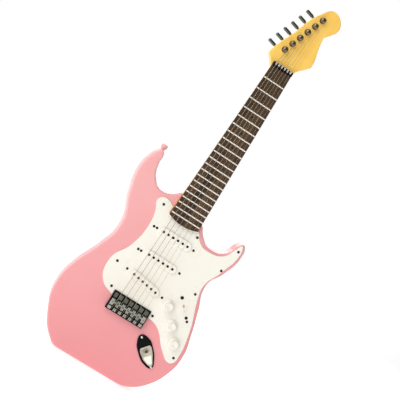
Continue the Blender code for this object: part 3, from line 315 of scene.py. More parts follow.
def rosewood():
    """Dark open-grained wood: streaks along the neck, with fine pores cut into the surface."""
    tree = Tree("rosewood")
    streak = tree.noise(190.0, 6.0, (1, 1, 0.035), 0.65, 0.35)
    band = tree.noise(48.0, 3.0, (1, 1, 0.07), 0.5, 0.8)
    pores = tree.noise(1500.0, 2.0, (1, 1, 0.035))
    colour = tree.ramp(
        streak, (0.28, (0.014, 0.008, 0.005)), (0.50, (0.062, 0.034, 0.016)), (0.66, (0.135, 0.078, 0.036)),
        (0.80, (0.22, 0.135, 0.062)),
    )
    colour = tree.mix(0.45, colour, band, (0.35, (0.020, 0.012, 0.007)), (0.65, (0.130, 0.076, 0.036)))
    colour = tree.mix(0.85, colour, pores, (0.34, (0.18, 0.15, 0.13)), (0.44, WHITE), blend="MULTIPLY")
    tree.bump((pores, 0.05), (streak, 0.03))
    rough = tree.span(streak, 0.66, 0.50, 0.3, 0.7)
    return tree.finish(Base_Color=colour, Roughness=rough, Specular_IOR_Level=0.25)


def metal(name, colour, roughness, brush=(1, 1, 1), tarnish=0.25, metallic=1.0):
    """Metal with brushing along one axis, and duller patches."""
    tree = Tree(name)
    dull = tuple(channel * (1.0 - tarnish) for channel in colour)
    patches = tree.ramp(tree.noise(55.0, 4.0, roughness=0.65), (0.34, dull), (0.6, colour))
    hair = tree.noise(900.0, 3.0, brush)
    tree.bump((hair, 0.006), (tree.noise(120.0), 0.01))
    hair_rough = tree.span(hair, 0.0, 0.10, 0.35, 0.7)
    patch_rough = tree.span(tree.noise(70.0), roughness, roughness + 0.1)
    rough = tree.math("ADD", hair_rough, patch_rough)
    return tree.finish(Base_Color=patches, Metallic=metallic, Roughness=rough)


def printed_circuit():
    """Green lacquer over copper tracks."""
    tree = Tree("printed_circuit")
    place = tree.place((260, 260, 260), (math.radians(90), 0, 0))
    tracks = tree.add(
        "TexBrick", Vector=place, Color1=(0.015, 0.16, 0.06, 1.0), Color2=(0.02, 0.20, 0.08, 1.0),
        Mortar=(0.05, 0.34, 0.13, 1.0), Mortar_Size=0.05,
    )
    tree.bump((tracks.outputs["Fac"], 0.03))
    return tree.finish(Base_Color=tracks.outputs["Color"], Roughness=worn_roughness(tree, 0.42))


def speaker_paper():
    tree = Tree("pressed_paper")
    fibre = tree.noise(1400.0, 4.0)
    tree.bump((fibre, 0.05))
    colour = tree.ramp(fibre, (0.3, (0.018, 0.018, 0.02)), (0.7, (0.06, 0.06, 0.065)))
    return tree.finish(Base_Color=colour, Roughness=tree.span(fibre, 0.78, 0.95))


def wound_steel():
    """A wound string: fine turns along its length."""
    tree = Tree("wound_steel")
    turns = tree.add("TexWave", {"bands_direction": "Z"}, Vector=tree.place(), Scale=1700.0).outputs["Fac"]
    colour = tree.ramp(turns, (0.2, (0.28, 0.20, 0.14)), (0.8, (0.62, 0.49, 0.36)))
    tree.bump((turns, 0.06))
    return tree.finish(Base_Color=colour, Metallic=0.85, Roughness=tree.span(tree.noise(90.0), 0.30, 0.42))


ALONG_NECK = (1, 1, 0.05)
ACROSS_NECK = (0.05, 1, 1)
IVORY_SLOT, BLACK_SLOT = "ivory_plastic", "black_plastic"

# A look is a material and the name of a material slot.
PINK = body_pink(), "pink_plastic"
IVORY = moulded_plastic("ivory_plastic", (0.945, 0.905, 0.79), (0.975, 0.945, 0.85), 0.30, 0.25), IVORY_SLOT
# A slightly darker copy of the guard's ivory: painted shade that keeps the raised knobs and the selector from
# looking brighter than the guard.
KNOB_IVORY_SHADED = (
    moulded_plastic("knob_ivory_shaded", (0.92, 0.885, 0.775), (0.95, 0.92, 0.82), 0.28, 0.2, 0.008), IVORY_SLOT
)
# The nut's white inserts: their white is a painted highlight in the string slots.
INSERT_HIGHLIGHT_WHITE = (
    moulded_plastic("insert_highlight_white", (0.97, 0.95, 0.90), (1.0, 0.99, 0.95), 0.3, 0.1, 0.004), IVORY_SLOT
)
BLACK = (
    moulded_plastic("black_plastic", (0.003, 0.003, 0.0035), (0.007, 0.007, 0.008), 0.24, 0.0, 0.008, 0.07),
    BLACK_SLOT,
)
DOT = moulded_plastic("inlay", (0.008, 0.007, 0.007), (0.016, 0.014, 0.013), 0.35, 0.2), BLACK_SLOT
PEG_METAL = metal("peg_metal", (0.14, 0.155, 0.12), 0.10, tarnish=0.08), BLACK_SLOT
DARK_SCREW = (
    moulded_plastic("blackened_screw", (0.002, 0.002, 0.002), (0.005, 0.005, 0.005), 0.35, 0.0, 0.004, 0.3),
    "steel",
)
STEEL = metal("plain_steel", (0.62, 0.59, 0.55), 0.24, ALONG_NECK), "steel"
TREBLE = metal("treble_string", (0.58, 0.47, 0.36), 0.28, ALONG_NECK), "steel"
FRET = metal("fret_wire", (1.0, 0.93, 0.83), 0.30, ACROSS_NECK, 0.06, 0.25), "steel"
WOUND = wound_steel(), "steel"
CHROME = metal("chrome", (0.82, 0.81, 0.78), 0.08), "chrome"
CHROMED_STEEL = CHROME[0], "steel"
SILVER = metal("cast_silver", (0.46, 0.47, 0.41), 0.28, tarnish=0.4), "chrome"
GUNMETAL = metal("gunmetal", (0.22, 0.17, 0.105), 0.05, tarnish=0.1), "chrome"
PAD = metal("bridge_pad_metal", (0.17, 0.19, 0.155), 0.38, tarnish=0.3), "chrome"
DISH = metal("dish_metal", (0.80, 0.75, 0.64), 0.34, tarnish=0.08, metallic=0.6), "chrome"
MAPLE = maple(), "maple"
ROSEWOOD = rosewood(), "rosewood"
PAPER = speaker_paper(), "speaker_paper"
JACKET = (
    moulded_plastic("battery_jacket", (0.030, 0.035, 0.055), (0.045, 0.05, 0.075), 0.24, 0.4, 0.006),
    "battery_jacket",
)
COPPER = metal("copper_end", (0.72, 0.44, 0.24), 0.22), "battery_jacket"


# ---------------- making meshes
def new_object(name, data):
    made = bpy.data.objects.new(name, data)
    bpy.context.scene.collection.objects.link(made)
    return made


def evaluated_mesh(thing):
    """A new mesh of an object, as its modifiers or its curve settings make it."""
    bpy.context.view_layer.update()
    return bpy.data.meshes.new_from_object(thing.evaluated_get(bpy.context.evaluated_depsgraph_get()))


def turn_about(turn_y, place):
    """Turned about the Y axis, then moved to a place."""
    return Matrix.Translation(Vector(place) * MM) @ Matrix.Rotation(turn_y, 4, "Y")


def standing(place, way):
    """Turned so that +Z points along a way, then moved to a place."""
    return Matrix.Translation(Vector(place) * MM) @ Vector(way).to_track_quat("Z", "Y").to_matrix().to_4x4()


def solid_from(work, matrix=None):
    bmesh.ops.remove_doubles(work, verts=work.verts, dist=WELD)
    bmesh.ops.recalc_face_normals(work, faces=work.faces)
    if work.calc_volume(signed=True) < 0:
        bmesh.ops.reverse_faces(work, faces=work.faces)
    if matrix is not None:
        work.transform(matrix)
    mesh = bpy.data.meshes.new("shape")
    work.to_mesh(mesh)
    work.free()
    return new_object("shape", mesh)


def block(low, high, turn_y=0.0, place=(0, 0, 0), soft=0.0):
    """A box between two corners, with edges rounded by soft."""
    low, high = Vector(low), Vector(high)
    work = bmesh.new()
    bmesh.ops.create_cube(work, size=1.0)
    bmesh.ops.scale(work, vec=(high - low) * MM, verts=work.verts)
    bmesh.ops.translate(work, vec=(high + low) / 2 * MM, verts=work.verts)
    if soft:
        bmesh.ops.bevel(
            work, geom=work.edges[:], offset=soft * MM, segments=3, profile=0.5, affect="EDGES",
            clamp_overlap=True,
        )
    return solid_from(work, turn_about(turn_y, place))


def turned(profile, place, way, sides=48, ribs=None):
    """A profile of (radius, height) turned about a line. ribs is (count, depth, low, high): a fluted band."""
    work = bmesh.new()
    rim = [work.verts.new((radius * MM, 0.0, height * MM)) for radius, height in profile]
    edges = [work.edges.new(pair) for pair in zip(rim, rim[1:])]
    bmesh.ops.spin(
        work, geom=rim + edges, axis=(0, 0, 1), cent=(0, 0, 0), angle=math.tau, steps=sides, use_merge=True
    )
    if ribs:
        count, depth, low, high = ribs
        for point in work.verts:
            if low * MM <= point.co.z <= high * MM and point.co.xy.length > WELD:
                wave = 0.5 + 0.5 * math.cos(count * math.atan2(point.co.y, point.co.x))
                point.co.xy *= 1.0 - depth * MM * wave / point.co.xy.length
    return solid_from(work, standing(place, way))


def dome(radius, base, rise, steps, start=1):
    """Profile points down a dome whose middle is higher than its base by rise."""
    turns = [math.pi / 2 * step / steps for step in range(start, steps + 1)]
    return [(radius * math.sin(turn), base + rise * math.cos(turn)) for turn in turns]


def rounded_corner(radius, height, soft):
    """Profile points round the edge where a top at height meets a side at radius."""
    return [(radius - soft + across, up) for across, up in dome(soft, height - soft, soft, 4, start=0)]


def rod(radius, start, end, sides=32, soft=0.0):
    """A cylinder from one point to another, with its end edges rounded by soft."""
    start, end = Vector(start), Vector(end)
    length = (end - start).length
    corner = rounded_corner(radius, length, soft) if soft else [(radius, length)]
    profile = [(0, length), *corner, *((across, length - up) for across, up in reversed(corner)), (0, 0)]
    return turned(profile, start, end - start, sides)


def deep_rod(radius, x, z, start, end, sides=32, soft=0.0):
    """A cylinder along the guitar's depth, from y = start to y = end."""
    return rod(radius, (x, start, z), (x, end, z), sides, soft)


def loft(rings, matrix=None):
    """A closed solid through rings of points, with flat ends."""
    work = bmesh.new()
    rings = [[work.verts.new(Vector(point) * MM) for point in ring] for ring in rings]
    for near, far in zip(rings, rings[1:]):
        for step in range(-1, len(near) - 1):
            work.faces.new((near[step], near[step + 1], far[step + 1], far[step]))
    work.faces.new(rings[0])
    work.faces.new(rings[-1])
    return solid_from(work, matrix)


def curve_surface(curve):
    """The surface that a curve's settings make, as a mesh to work on."""
    made = new_object("curve", curve)
    mesh = evaluated_mesh(made)
    work = bmesh.new()
    work.from_mesh(mesh)
    bpy.data.meshes.remove(mesh)
    bpy.data.objects.remove(made)
    return work


def tube(route, radius, sides):
    """A round wire through the points of a route, with flat ends."""
    curve = bpy.data.curves.new("tube", "CURVE")
    curve.dimensions = "3D"
    curve.bevel_depth = radius * MM
    curve.bevel_resolution = sides // 4
    curve.use_fill_caps = True
    spline = curve.splines.new("POLY")
    spline.points.add(len(route) - 1)
    for knot, place in zip(spline.points, route):
        knot.co = (*(Vector(place) * MM), 1.0)
    return solid_from(curve_surface(curve))


def outline_spline(curve, points, steps):
    spline = curve.splines.new("BEZIER")
    spline.bezier_points.add(len(points) - 1)
    spline.use_cyclic_u = True
    spline.resolution_u = steps
    for index, knot in enumerate(spline.bezier_points):
        here = Vector(points[index][:2])
        before = Vector(points[index - 1][:2])
        after = Vector(points[(index + 1) % len(points)][:2])
        way = points[index][2] if len(points[index]) > 2 else ""
        knot.co = (*(here * MM), 0.0)
        if way in ("H", "V"):
            axis = 0 if way == "H" else 1
            along = Vector((1.0, 0.0) if way == "H" else (0.0, 1.0))
            along *= math.copysign(1.0, after[axis] - before[axis])
            knot.handle_left_type = knot.handle_right_type = "FREE"
            reach_in = abs(here[axis] - before[axis]) * 0.5
            reach_out = abs(after[axis] - here[axis]) * 0.5
            knot.handle_left = (*((here - along * reach_in) * MM), 0.0)
            knot.handle_right = (*((here + along * reach_out) * MM), 0.0)
        else:
            kind = "VECTOR" if way == "C" else "AUTO"
            knot.handle_left_type = knot.handle_right_type = kind


def slab(points, front, back, rounding=0.0, grow=0.0, steps=10, round_steps=3, turn_y=0.0, place=(0, 0, 0)):
    """A flat outline in X and Z, filled from y = front to y = back, grown or shrunk all round if asked."""
    curve = bpy.data.curves.new("slab", "CURVE")
    curve.dimensions = "2D"
    curve.fill_mode = "BOTH"
    curve.extrude = ((back - front) / 2 - rounding) * MM
    curve.bevel_depth = rounding * MM
    curve.bevel_resolution = round_steps if rounding else 0
    curve.offset = (grow - rounding) * MM
    curve.resolution_u = steps
    outline_spline(curve, points, steps)
    work = curve_surface(curve)
    bmesh.ops.remove_doubles(work, verts=work.verts, dist=WELD)
    bmesh.ops.dissolve_limit(work, angle_limit=STRAIGHT, verts=work.verts, edges=work.edges)
    upright = Matrix.Rotation(math.radians(90), 4, "X")
    stand = Matrix.Translation((0.0, (front + back) / 2 * MM, 0.0)) @ upright
    return solid_from(work, turn_about(turn_y, place) @ stand)


def round_ended(length, width):
    """An outline with half-round ends, along its own first axis."""
    reach, radius = length / 2, width / 2
    side, inner = radius * 0.72, reach - radius
    outer = inner + side
    return (
        (-reach, 0, "V"), (-outer, side), (-inner, radius, "H"), (inner, radius, "H"), (outer, side),
        (reach, 0, "V"), (outer, -side), (inner, -radius, "H"), (-inner, -radius, "H"), (-outer, -side),
    )


def four_corners(low_half, low_z, high_half, high_z):
    """An outline with four corners, from its half widths at its low and high ends."""
    points = (-low_half, low_z), (low_half, low_z), (high_half, high_z), (-high_half, high_z)
    return [(x, z, "C") for x, z in points]


def combine(solid, others, operation):
    """Applies exact Booleans with each of the others, which are used up."""
    for other in others:
        step = solid.modifiers.new("boolean", "BOOLEAN")
        step.operation = operation
        step.solver = "EXACT"
        step.object = other
    mesh = evaluated_mesh(solid)
    solid.modifiers.clear()
    solid.data = mesh
    for other in others:
        bpy.data.objects.remove(other)
    return solid


def cut(solid, *others):
    return combine(solid, others, "DIFFERENCE")


def join(solid, *others):
    return combine(solid, others, "UNION")


# ---------------- pieces
SHARP = 32.0  # degrees
FRONT, BACK = (0, -1, 0), (0, 1, 0)


def dress(mesh, material, sharp=SHARP):
    """Gives a mesh its material, and smooth shading except at edges over the sharp angle."""
    mesh.materials.clear()
    mesh.materials.append(material)
    mesh.shade_smooth()
    mesh.set_sharp_from_angle(angle=math.radians(sharp))


def enter(made, slot, node, body=ROOT):
    """Attaches a piece to the body that it rides on, and hides the CAD node that it stands for, if any. The
    slot is not used.
    """
    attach(made, body)
    if node:
        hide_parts(node)


def piece(name, solid, look, node=None, body=ROOT, sharp=SHARP):
    """A finished piece, made of a solid."""
    material, slot = look
    solid.name = solid.data.name = name
    dress(solid.data, material, sharp)
    weighted = solid.modifiers.new("normals", "WEIGHTED_NORMAL")
    weighted.keep_sharp = True
    weighted.weight = 80
    enter(solid, slot, node, body)


@functools.cache
def screw_mesh(radius, height, material):
    """A domed head with a cross recess, its foot at the origin and its top along +Z."""
    base = height * 0.35
    profile = [(0, height), *dome(radius, base, height * 0.65, 6), (radius, 0), (0, 0)]
    reach, slot = radius * 0.58, radius * 0.15
    head = cut(
        turned(profile, (0, 0, 0), (0, 0, 1), 28),
        block((-reach, -slot, base), (reach, slot, height * 2)),
        block((-slot, -reach, base), (slot, reach, height * 2)),
    )
    mesh = head.data
    mesh.name = "screw_head"
    bpy.data.objects.remove(head)
    dress(mesh, material)
    return mesh


def screw(name, place, way, radius, height, look, turn, node=None):
    """A screw head standing on a surface at place. Heads of one size share a mesh."""
    material, slot = look
    made = new_object(name, screw_mesh(radius, height, material))
    made.matrix_world = standing(place, way) @ Matrix.Rotation(turn, 4, "Z")
    enter(made, slot, node)


def half_width(height):
    """Half the neck's width at a height."""
    return NUT_HALF_WIDTH + (NUT_Z - height) * NECK_TAPER


# ---------------- body shells
STEM_RADIUS = 3.0
FLANGE_RADIUS = 5.3
SHELL_SCREW_Y = 13.0
GRILLE_RADIUS, GRILLE_PITCH, GRILLE_SLOT = 17.0, 4.8, 2.2


def body_blank():
    return slab(BODY_OUTLINE, -BODY_FACE, BODY_FACE, rounding=BODY_ROUNDING, round_steps=4)


def body_hollow():
    return slab(BODY_OUTLINE, -BODY_FACE + BODY_WALL, BODY_FACE - BODY_WALL, grow=-BODY_WALL, steps=4)


def all_between(front, back):
    """A cutter that takes away all of the body between two depths."""
    return block((-PAST_SIDE, front, -FAR), (PAST_SIDE, back, PAST_TOP))


def neck_pocket():
    room = GAP + 0.1
    low, high = half_width(HEEL_END_Z) + room, half_width(POCKET_TOP_Z) + room
    return slab(four_corners(low, HEEL_END_Z - room, high, POCKET_TOP_Z), -FAR, POCKET_FLOOR_Y, steps=1)


def knob_ways():
    """Holes for the knobs' shafts."""
    return [deep_rod(SHAFT_RADIUS + 0.6, x, z, -FAR, -INSIDE, 24) for x, z in KNOB_PLACES.values()]


def strap_button():
    """A waisted button moulded on the tip of the upper horn."""
    x, y = STRAP_BUTTON
    top = STRAP_BUTTON_TOP_Z
    profile = [(0, top)] + rounded_corner(FLANGE_RADIUS, top, 1.2)
    profile += [(FLANGE_RADIUS, top - 5.4), (4.6, top - 6.5), (3.4, top - 8.4), (STEM_RADIUS, top - 10.4)]
    profile += [(STEM_RADIUS, top - 19.2), (0, top - 19.2)]
    return turned(profile, (x, y, 0), (0, 0, 1), 40)


def body_front():
    shell = cut(body_blank(), all_between(SEAM_Y - GAP / 2, FAR))
    neck_tub = block((-31.5, -FAR, 258.5), (31.5, POCKET_FLOOR_Y + 3.0, POCKET_TOP_Z))
    inside = cut(body_hollow(), neck_tub)
    reach = SELECTOR_REACH + 1
    lever_way = block((-reach, -FAR, -2.2), (reach, -INSIDE, 2.2), SELECTOR_TURN, SELECTOR_PLACE)
    cut(shell, inside, neck_pocket(), *knob_ways(), lever_way)
    room = 1.0 + GAP
    well_back = JACK_WELL_FLOOR_Y + JACK_WELL_WALL
    join(shell, jack_shape(JACK_DISH_OUTLINE, 1.0 - BODY_FACE, well_back, grow=room + JACK_WELL_WALL))
    cut(shell, jack_shape(JACK_DISH_OUTLINE, -FAR, JACK_WELL_FLOOR_Y, grow=room))
    join(shell, strap_button())
    piece("body_front_shell", shell, PINK, "body_front")


def grille_cuts():
    """Seven slots with round ends, inside a circle over the speaker."""
    cuts = []
    for index in range(-3, 4):
        across = index * GRILLE_PITCH
        bar = round_ended(2 * math.sqrt(GRILLE_RADIUS**2 - across**2), GRILLE_SLOT)
        place = (SPEAKER_X + across, 0, SPEAKER_Z)
        cuts.append(slab(bar, INSIDE, FAR, turn_y=math.pi / 2, place=place))
    return cuts


def body_back():
    shell = cut(body_blank(), all_between(-FAR, SEAM_Y + GAP / 2))
    cut(shell, body_hollow())
    low_x, high_x, low_z, high_z = BATTERY_BOX
    low = (low_x - 2, BATTERY_FLOOR_Y - 2, low_z - 2)
    walls = block(low, (high_x + 2, BODY_FACE - 1.5, high_z + 2))
    bosses = [deep_rod(3.6, x, z, SEAM_Y + GAP / 2, BODY_FACE - 1.0, 24) for x, z in SHELL_BOSSES]
    join(shell, walls, *bosses)
    cuts = [block((low_x, BATTERY_FLOOR_Y, low_z), (high_x, FAR, high_z))]
    cuts += [deep_rod(3.0, x, z, SHELL_SCREW_Y, FAR, 28) for x, z in SHELL_BOSSES]
    cuts += [deep_rod(1.8, x, z, -INSIDE, FAR, 16) for x, z in NECK_SCREWS]
    edge, pin = DOOR_HALF_WIDTH + 0.4, DOOR_PIN_REACH + 0.6
    recess = four_corners(edge, DOOR_PIVOT_Z - 1.7, edge, DOOR_TOP_Z + 0.4)
    cuts.append(slab(recess, BODY_FACE - 2.3, FAR, steps=1))
    cuts.append(rod(0.8, (-pin, DOOR_PIVOT_Y, DOOR_PIVOT_Z), (pin, DOOR_PIVOT_Y, DOOR_PIVOT_Z), 16))
    low_x, high_x, low_z, high_z = POWER_SLOT
    cuts.append(block((low_x, INSIDE, low_z), (high_x, FAR, high_z)))
    cut(shell, *cuts, *grille_cuts())
    piece("body_back_shell", shell, PINK, "body_back")


def shell_screws():
    for index, (x, z) in enumerate(SHELL_BOSSES):
        screw(f"shell_screw_{index + 1}", (x, SHELL_SCREW_Y, z), BACK, 2.7, 1.6, STEEL, index * 0.7)


# ---------------- pickguard and pickups
COVER_LONG, COVER_WIDE = 60.0, 15.0
COVER_FRONT = -27.0
COVER_WALL = 1.5
# Centre x, centre z, tilt and pole pitch.
PICKUPS = {
    "neck": (3.6, 251.0, 0.0, 9.16),
    "middle": (3.1, 207.0, 0.0, 9.0),
    "bridge": (0.2, 163.8, math.radians(9.3), 9.2),
}
GUARD_SCREWS = (
    (-43.2, 288.5), (32.8, 272.0), (103.2, 288.0), (96.0, 247.0), (80.6, 192.0), (93.6, 146.5), (107.4, 84.5),
    (40.3, 125.2), (-43.2, 132.0), (-57.2, 171.5), (-38.9, 205.5), (-37.2, 250.2),
)
SELECTOR_SCREWS = ((65.4, 175.9, 2.9), (89.2, 151.1, 2.6))  # x, z, head radius
PICKUP_SCREWS = {
    "neck": ((-31.6, 250.4), (39.0, 250.8)),
    "middle": ((-33.4, 205.6), (39.8, 207.2)),
    "bridge": ((-36.8, 169.2), (37.2, 158.6)),
}


def cover_shape(name, front, back, **sizes):
    x, z, tilt, _ = PICKUPS[name]
    ends = round_ended(COVER_LONG, COVER_WIDE)
    return slab(ends, front, back, steps=8, turn_y=tilt, place=(x, 0, z), **sizes)


def guard_screw(name, x, z, radius, height, turn):
    screw(name, (x, GUARD_FRONT, z), FRONT, radius, height, DARK_SCREW, turn)


def pickguard():
    guard = slab(PICKGUARD_OUTLINE, GUARD_FRONT, GUARD_BACK, rounding=0.45, round_steps=2)
    windows = [cover_shape(name, -FAR, -INSIDE, grow=SNUG) for name in PICKUPS]
    slot = round_ended(2 * SELECTOR_REACH, 3.0)
    lever_way = slab(slot, -FAR, -INSIDE, turn_y=SELECTOR_TURN, place=SELECTOR_PLACE)
    cut(guard, *windows, *knob_ways(), lever_way)
    piece("guard_plate", guard, IVORY, "pickguard")
    for index, (x, z) in enumerate(GUARD_SCREWS):
        guard_screw(f"guard_screw_{index + 1}", x, z, 2.2, 0.9, index * 1.1)
    for index, (x, z, radius) in enumerate(SELECTOR_SCREWS):
        guard_screw(f"selector_screw_{index + 1}", x, z, radius, 1.1, 0.4)


def pickup(name):
    centre_x, centre_z, tilt, pitch = PICKUPS[name]
    centre = Vector((centre_x, 0.0, centre_z))
    along = Vector((math.cos(tilt), 0.0, -math.sin(tilt)))
    spots = [centre + along * pitch * (index - MIDDLE) for index in STRINGS]
    cover = cover_shape(name, COVER_FRONT, GUARD_BACK, rounding=1.7)
    room = cover_shape(name, COVER_FRONT + COVER_WALL, -INSIDE, grow=-COVER_WALL)
    cut(cover, room, *[deep_rod(2.2, spot.x, spot.z, -FAR, -23, 28) for spot in spots])
    piece(f"{name}_cover", cover, IVORY, f"pickup_cover_{name}")
    bar = block((-27, -23.4, -2.6), (27, -21.6, 2.6), tilt, centre, soft=0.3)
    piece(f"{name}_pole_bar", bar, STEEL, f"pickup_poles_{name}")
    for index, spot in enumerate(spots):
        pole = deep_rod(2.0, spot.x, spot.z, -22.4, COVER_FRONT - 0.4, 28, soft=0.35)
        piece(f"{name}_pole_{index + 1}", pole, DARK_SCREW)
    for index, (x, z) in enumerate(PICKUP_SCREWS[name]):
        guard_screw(f"{name}_pickup_screw_{index + 1}", x, z, 2.1, 0.9, 0.9)


# ---------------- bridge
BRIDGE_HALF_WIDTH = 34.6
BRIDGE_LOW_Z, BRIDGE_HIGH_Z = 98.0, 129.8
PLATE_FRONT = -23.3
RAIL_INNER = 32.9
PAD_EDGE = 32.6
PAD_LOW_Z, PAD_HIGH_Z = 119.2, 128.0
SADDLE_FRONT = -33.2
SADDLE_LOW_Z, SADDLE_HIGH_Z = 99.8, 118.2
CREST_Z = 113.0
CREST_LOW_Z, CREST_HIGH_Z = CREST_Z - 1.2, CREST_Z + 1.2
STRING_WAY = 1.6
SADDLE_WAY = 2.3  # half the width of the channel that a saddle's string runs in, lined black as painted shade
SADDLE_WAY_FLOOR = -27.6
# The black liners in the saddles' channels and the black bars in their grooves are painted shade.
SHADE_LINER_FRONT = -32.9
SHADE_LINER_THICK = 0.25
GRUB_Z = 112.6
TAIL_SCREW_Y = -26.2


def string_at_bridge(index):
    return (index - MIDDLE) * BRIDGE_PITCH


def string_at_nut(index):
    return (index - MIDDLE) * NUT_PITCH


def bridge_plate():
    half, low, high, inside = BRIDGE_HALF_WIDTH, BRIDGE_LOW_Z, BRIDGE_HIGH_Z, PLATE_FRONT + 1
    plate = block((-half, PLATE_FRONT, low), (half, GUARD_BACK, high), soft=0.25)
    wall = block((-half, -29.0, low), (half, inside, low + 1.4), soft=0.25)
    rails = [
        block((left, -28.0, low + 0.4), (right, inside, high - 0.4), soft=0.3)
        for left, right in ((-half, -RAIL_INNER), (RAIL_INNER, half))
    ]
    rim = block((-half, -26.4, high - 1.5), (half, inside, high), soft=0.25)
    piece("bridge_base", join(plate, wall, *rails, rim), BLACK, "bridge_plate")


def bridge_pads():
    """Cast pads beside and between the strings, in front of the saddles."""
    ways = [string_at_bridge(index) for index in STRINGS]
    lefts = [-PAD_EDGE] + [way + STRING_WAY for way in ways]
    rights = [way - STRING_WAY for way in ways] + [PAD_EDGE]
    for index, (left, right) in enumerate(zip(lefts, rights)):
        pad = block((left, -26.8, PAD_LOW_Z), (right, PLATE_FRONT - 0.1, PAD_HIGH_Z), soft=0.7)
        piece(f"bridge_pad_{index + 1}", pad, PAD)


def saddle(index):
    node = f"saddle_{index + 1}"
    x, way, floor = string_at_bridge(index), SADDLE_WAY, SADDLE_WAY_FLOOR
    half = BRIDGE_PITCH / 2 - 0.2
    edge = BRIDGE_HALF_WIDTH - 2.2 - abs(x)
    left = edge if index == STRINGS[0] else half
    right = edge if index == STRINGS[-1] else half
    sides = ((-1, left), (1, right))
    grubs = [x + side * (way + reach) / 2 for side, reach in sides]
    body = block(
        (x - left, SADDLE_FRONT, SADDLE_LOW_Z), (x + right, PLATE_FRONT - GAP, SADDLE_HIGH_Z), soft=0.7
    )
    cut(
        body,
        block((x - way, -FAR, 90), (x + way, floor, CREST_LOW_Z)),
        block((x - way, -FAR, CREST_HIGH_Z), (x + way, floor, 125)),
        block((x - way / 2, -FAR, CREST_Z - 3), (x + way / 2, -32.3, CREST_Z + 3)),
        rod(1.1, (x - 10, SADDLE_FRONT, 106.1), (x + 10, SADDLE_FRONT, 106.1), 24),
        rod(1.0, (x, TAIL_SCREW_Y, 97), (x, TAIL_SCREW_Y, 111), 16),
        *[deep_rod(1.05, grub_x, GRUB_Z, -FAR, -29.0, 20) for grub_x in grubs],
    )
    piece(f"saddle_block_{index + 1}", body, SILVER, node)
    for number, grub_x in enumerate(grubs):
        grub = deep_rod(0.95, grub_x, GRUB_Z, -29.2, -32.9, 20, soft=0.15)
        cut(grub, deep_rod(0.5, grub_x, GRUB_Z, -FAR, -31.9, 6))
        piece(f"{node}_grub_{number + 1}", grub, GUNMETAL)
    # A black bar in each saddle's groove at z 106 is painted shade, standing for the groove's shadow.
    for number, (side, reach) in enumerate(sides):
        start, end = sorted((x + side * way, x + side * (reach - 0.05)))
        band = block((start, SHADE_LINER_FRONT, 105.0), (end, -32.0, 107.2), soft=0.2)
        piece(f"{node}_band_{number + 1}", band, BLACK)
    # A thin black liner inside each string channel is painted shade: it darkens the channel as its shadow
    # would.
    inner, base = way - SHADE_LINER_THICK, floor - 0.02
    channels = (SADDLE_LOW_Z, CREST_LOW_Z), (CREST_HIGH_Z, SADDLE_HIGH_Z)
    for number, (low_z, high_z) in enumerate(channels):
        shade_liner = block((x - way, SHADE_LINER_FRONT, low_z), (x + way, base, high_z))
        cut(shade_liner, block((x - inner, -FAR, low_z - 1), (x + inner, base - SHADE_LINER_THICK, high_z + 1)))
        piece(f"{node}_channel_{number + 1}", shade_liner, BLACK)
    tail = rod(0.8, (x, TAIL_SCREW_Y, 98.2), (x, TAIL_SCREW_Y, 110.6), 16, soft=0.2)
    piece(f"intonation_screw_{index + 1}", tail, STEEL)


# ---------------- strings
WOUND_STRINGS = 3
WINDING_TURNS, WINDING_STEPS = 3.4, 82
WINDING_PITCH = 0.82


def string(index):
    """The wire from its saddle over the nut to its post, and its winding, which turns with the post."""
    bridge_x, nut_x = string_at_bridge(index), string_at_nut(index)
    post = POST_FIRST + POST_STEP * index
    wind_x = post.x + POST_WAIST + STRING_RADIUS + GAP
    route = (
        (bridge_x, -28.4, 100.8), (bridge_x, -32.2, 109.8), (bridge_x, -33.0, 111.8),
        (bridge_x, -33.05, 114.2), (nut_x, -31.5, 574.5), (nut_x, -31.45, 578.0), (nut_x, -31.2, 580.4),
        (wind_x, -28.9, post.z),
    )
    thin = STRING_RADIUS * (0.95 - 0.10 * index)
    look = WOUND if index < WOUND_STRINGS else TREBLE
    piece(f"string_wire_{index + 1}", tube(route, thin, 12), look, f"string_{index + 1}")
    reach = POST_WAIST + thin
    coil = []
    for step in range(WINDING_STEPS + 1):
        turn = math.tau * WINDING_TURNS * step / WINDING_STEPS
        depth = -29.3 + WINDING_PITCH * turn / math.tau
        coil.append((post.x + reach * math.cos(turn), depth, post.z + reach * math.sin(turn)))
    piece(f"string_winding_{index + 1}", tube(coil, thin, 8), STEEL, body=f"tuner_post_{index + 1}")


# ---------------- neck
# Height, depth and squareness of each section of the neck's back.
NECK_SECTIONS = (
    (HEEL_STEP_Z, 18.5, 9.0), (312, 18.5, 9.0), (326, 17.0, 5.0), (342, 14.6, 3.0), (364, 13.8, 2.4),
    (470, 13.2, 2.3), (556, 12.6, 2.3), (576, 12.4, 2.8), (584, 12.4, 5.0),
)
NECK_RING = 40
BETWEEN_SECTIONS = 6
TONGUE_TOP_Z = HEEL_STEP_Z + 4
FRETS = 21
FRET_HALF, FRET_RISE = 1.05, 0.8
DOTTED_FRETS = (3, 5, 7, 9, 12, 15, 17, 19, 21)
INSERT = 1.55  # half the width of the pale insert under each string, whose white is a painted highlight


def neck_ring(height, depth, power):
    ring = []
    for step in range(NECK_RING + 1):
        angle = math.pi * step / NECK_RING
        across = math.copysign(abs(math.cos(angle)) ** (2 / power), math.cos(angle))
        ring.append((half_width(height) * across, NECK_FACE + depth * math.sin(angle) ** (2 / power), height))
    return ring


def neck_sections():
    """The neck's sections with smooth steps between them."""
    for low, high in zip(NECK_SECTIONS, NECK_SECTIONS[1:]):
        for step in range(BETWEEN_SECTIONS):
            share = step / BETWEEN_SECTIONS
            ease = share * share * (3 - 2 * share)
            yield [start + (end - start) * part for start, end, part in zip(low, high, (share, ease, ease))]
    yield NECK_SECTIONS[-1]


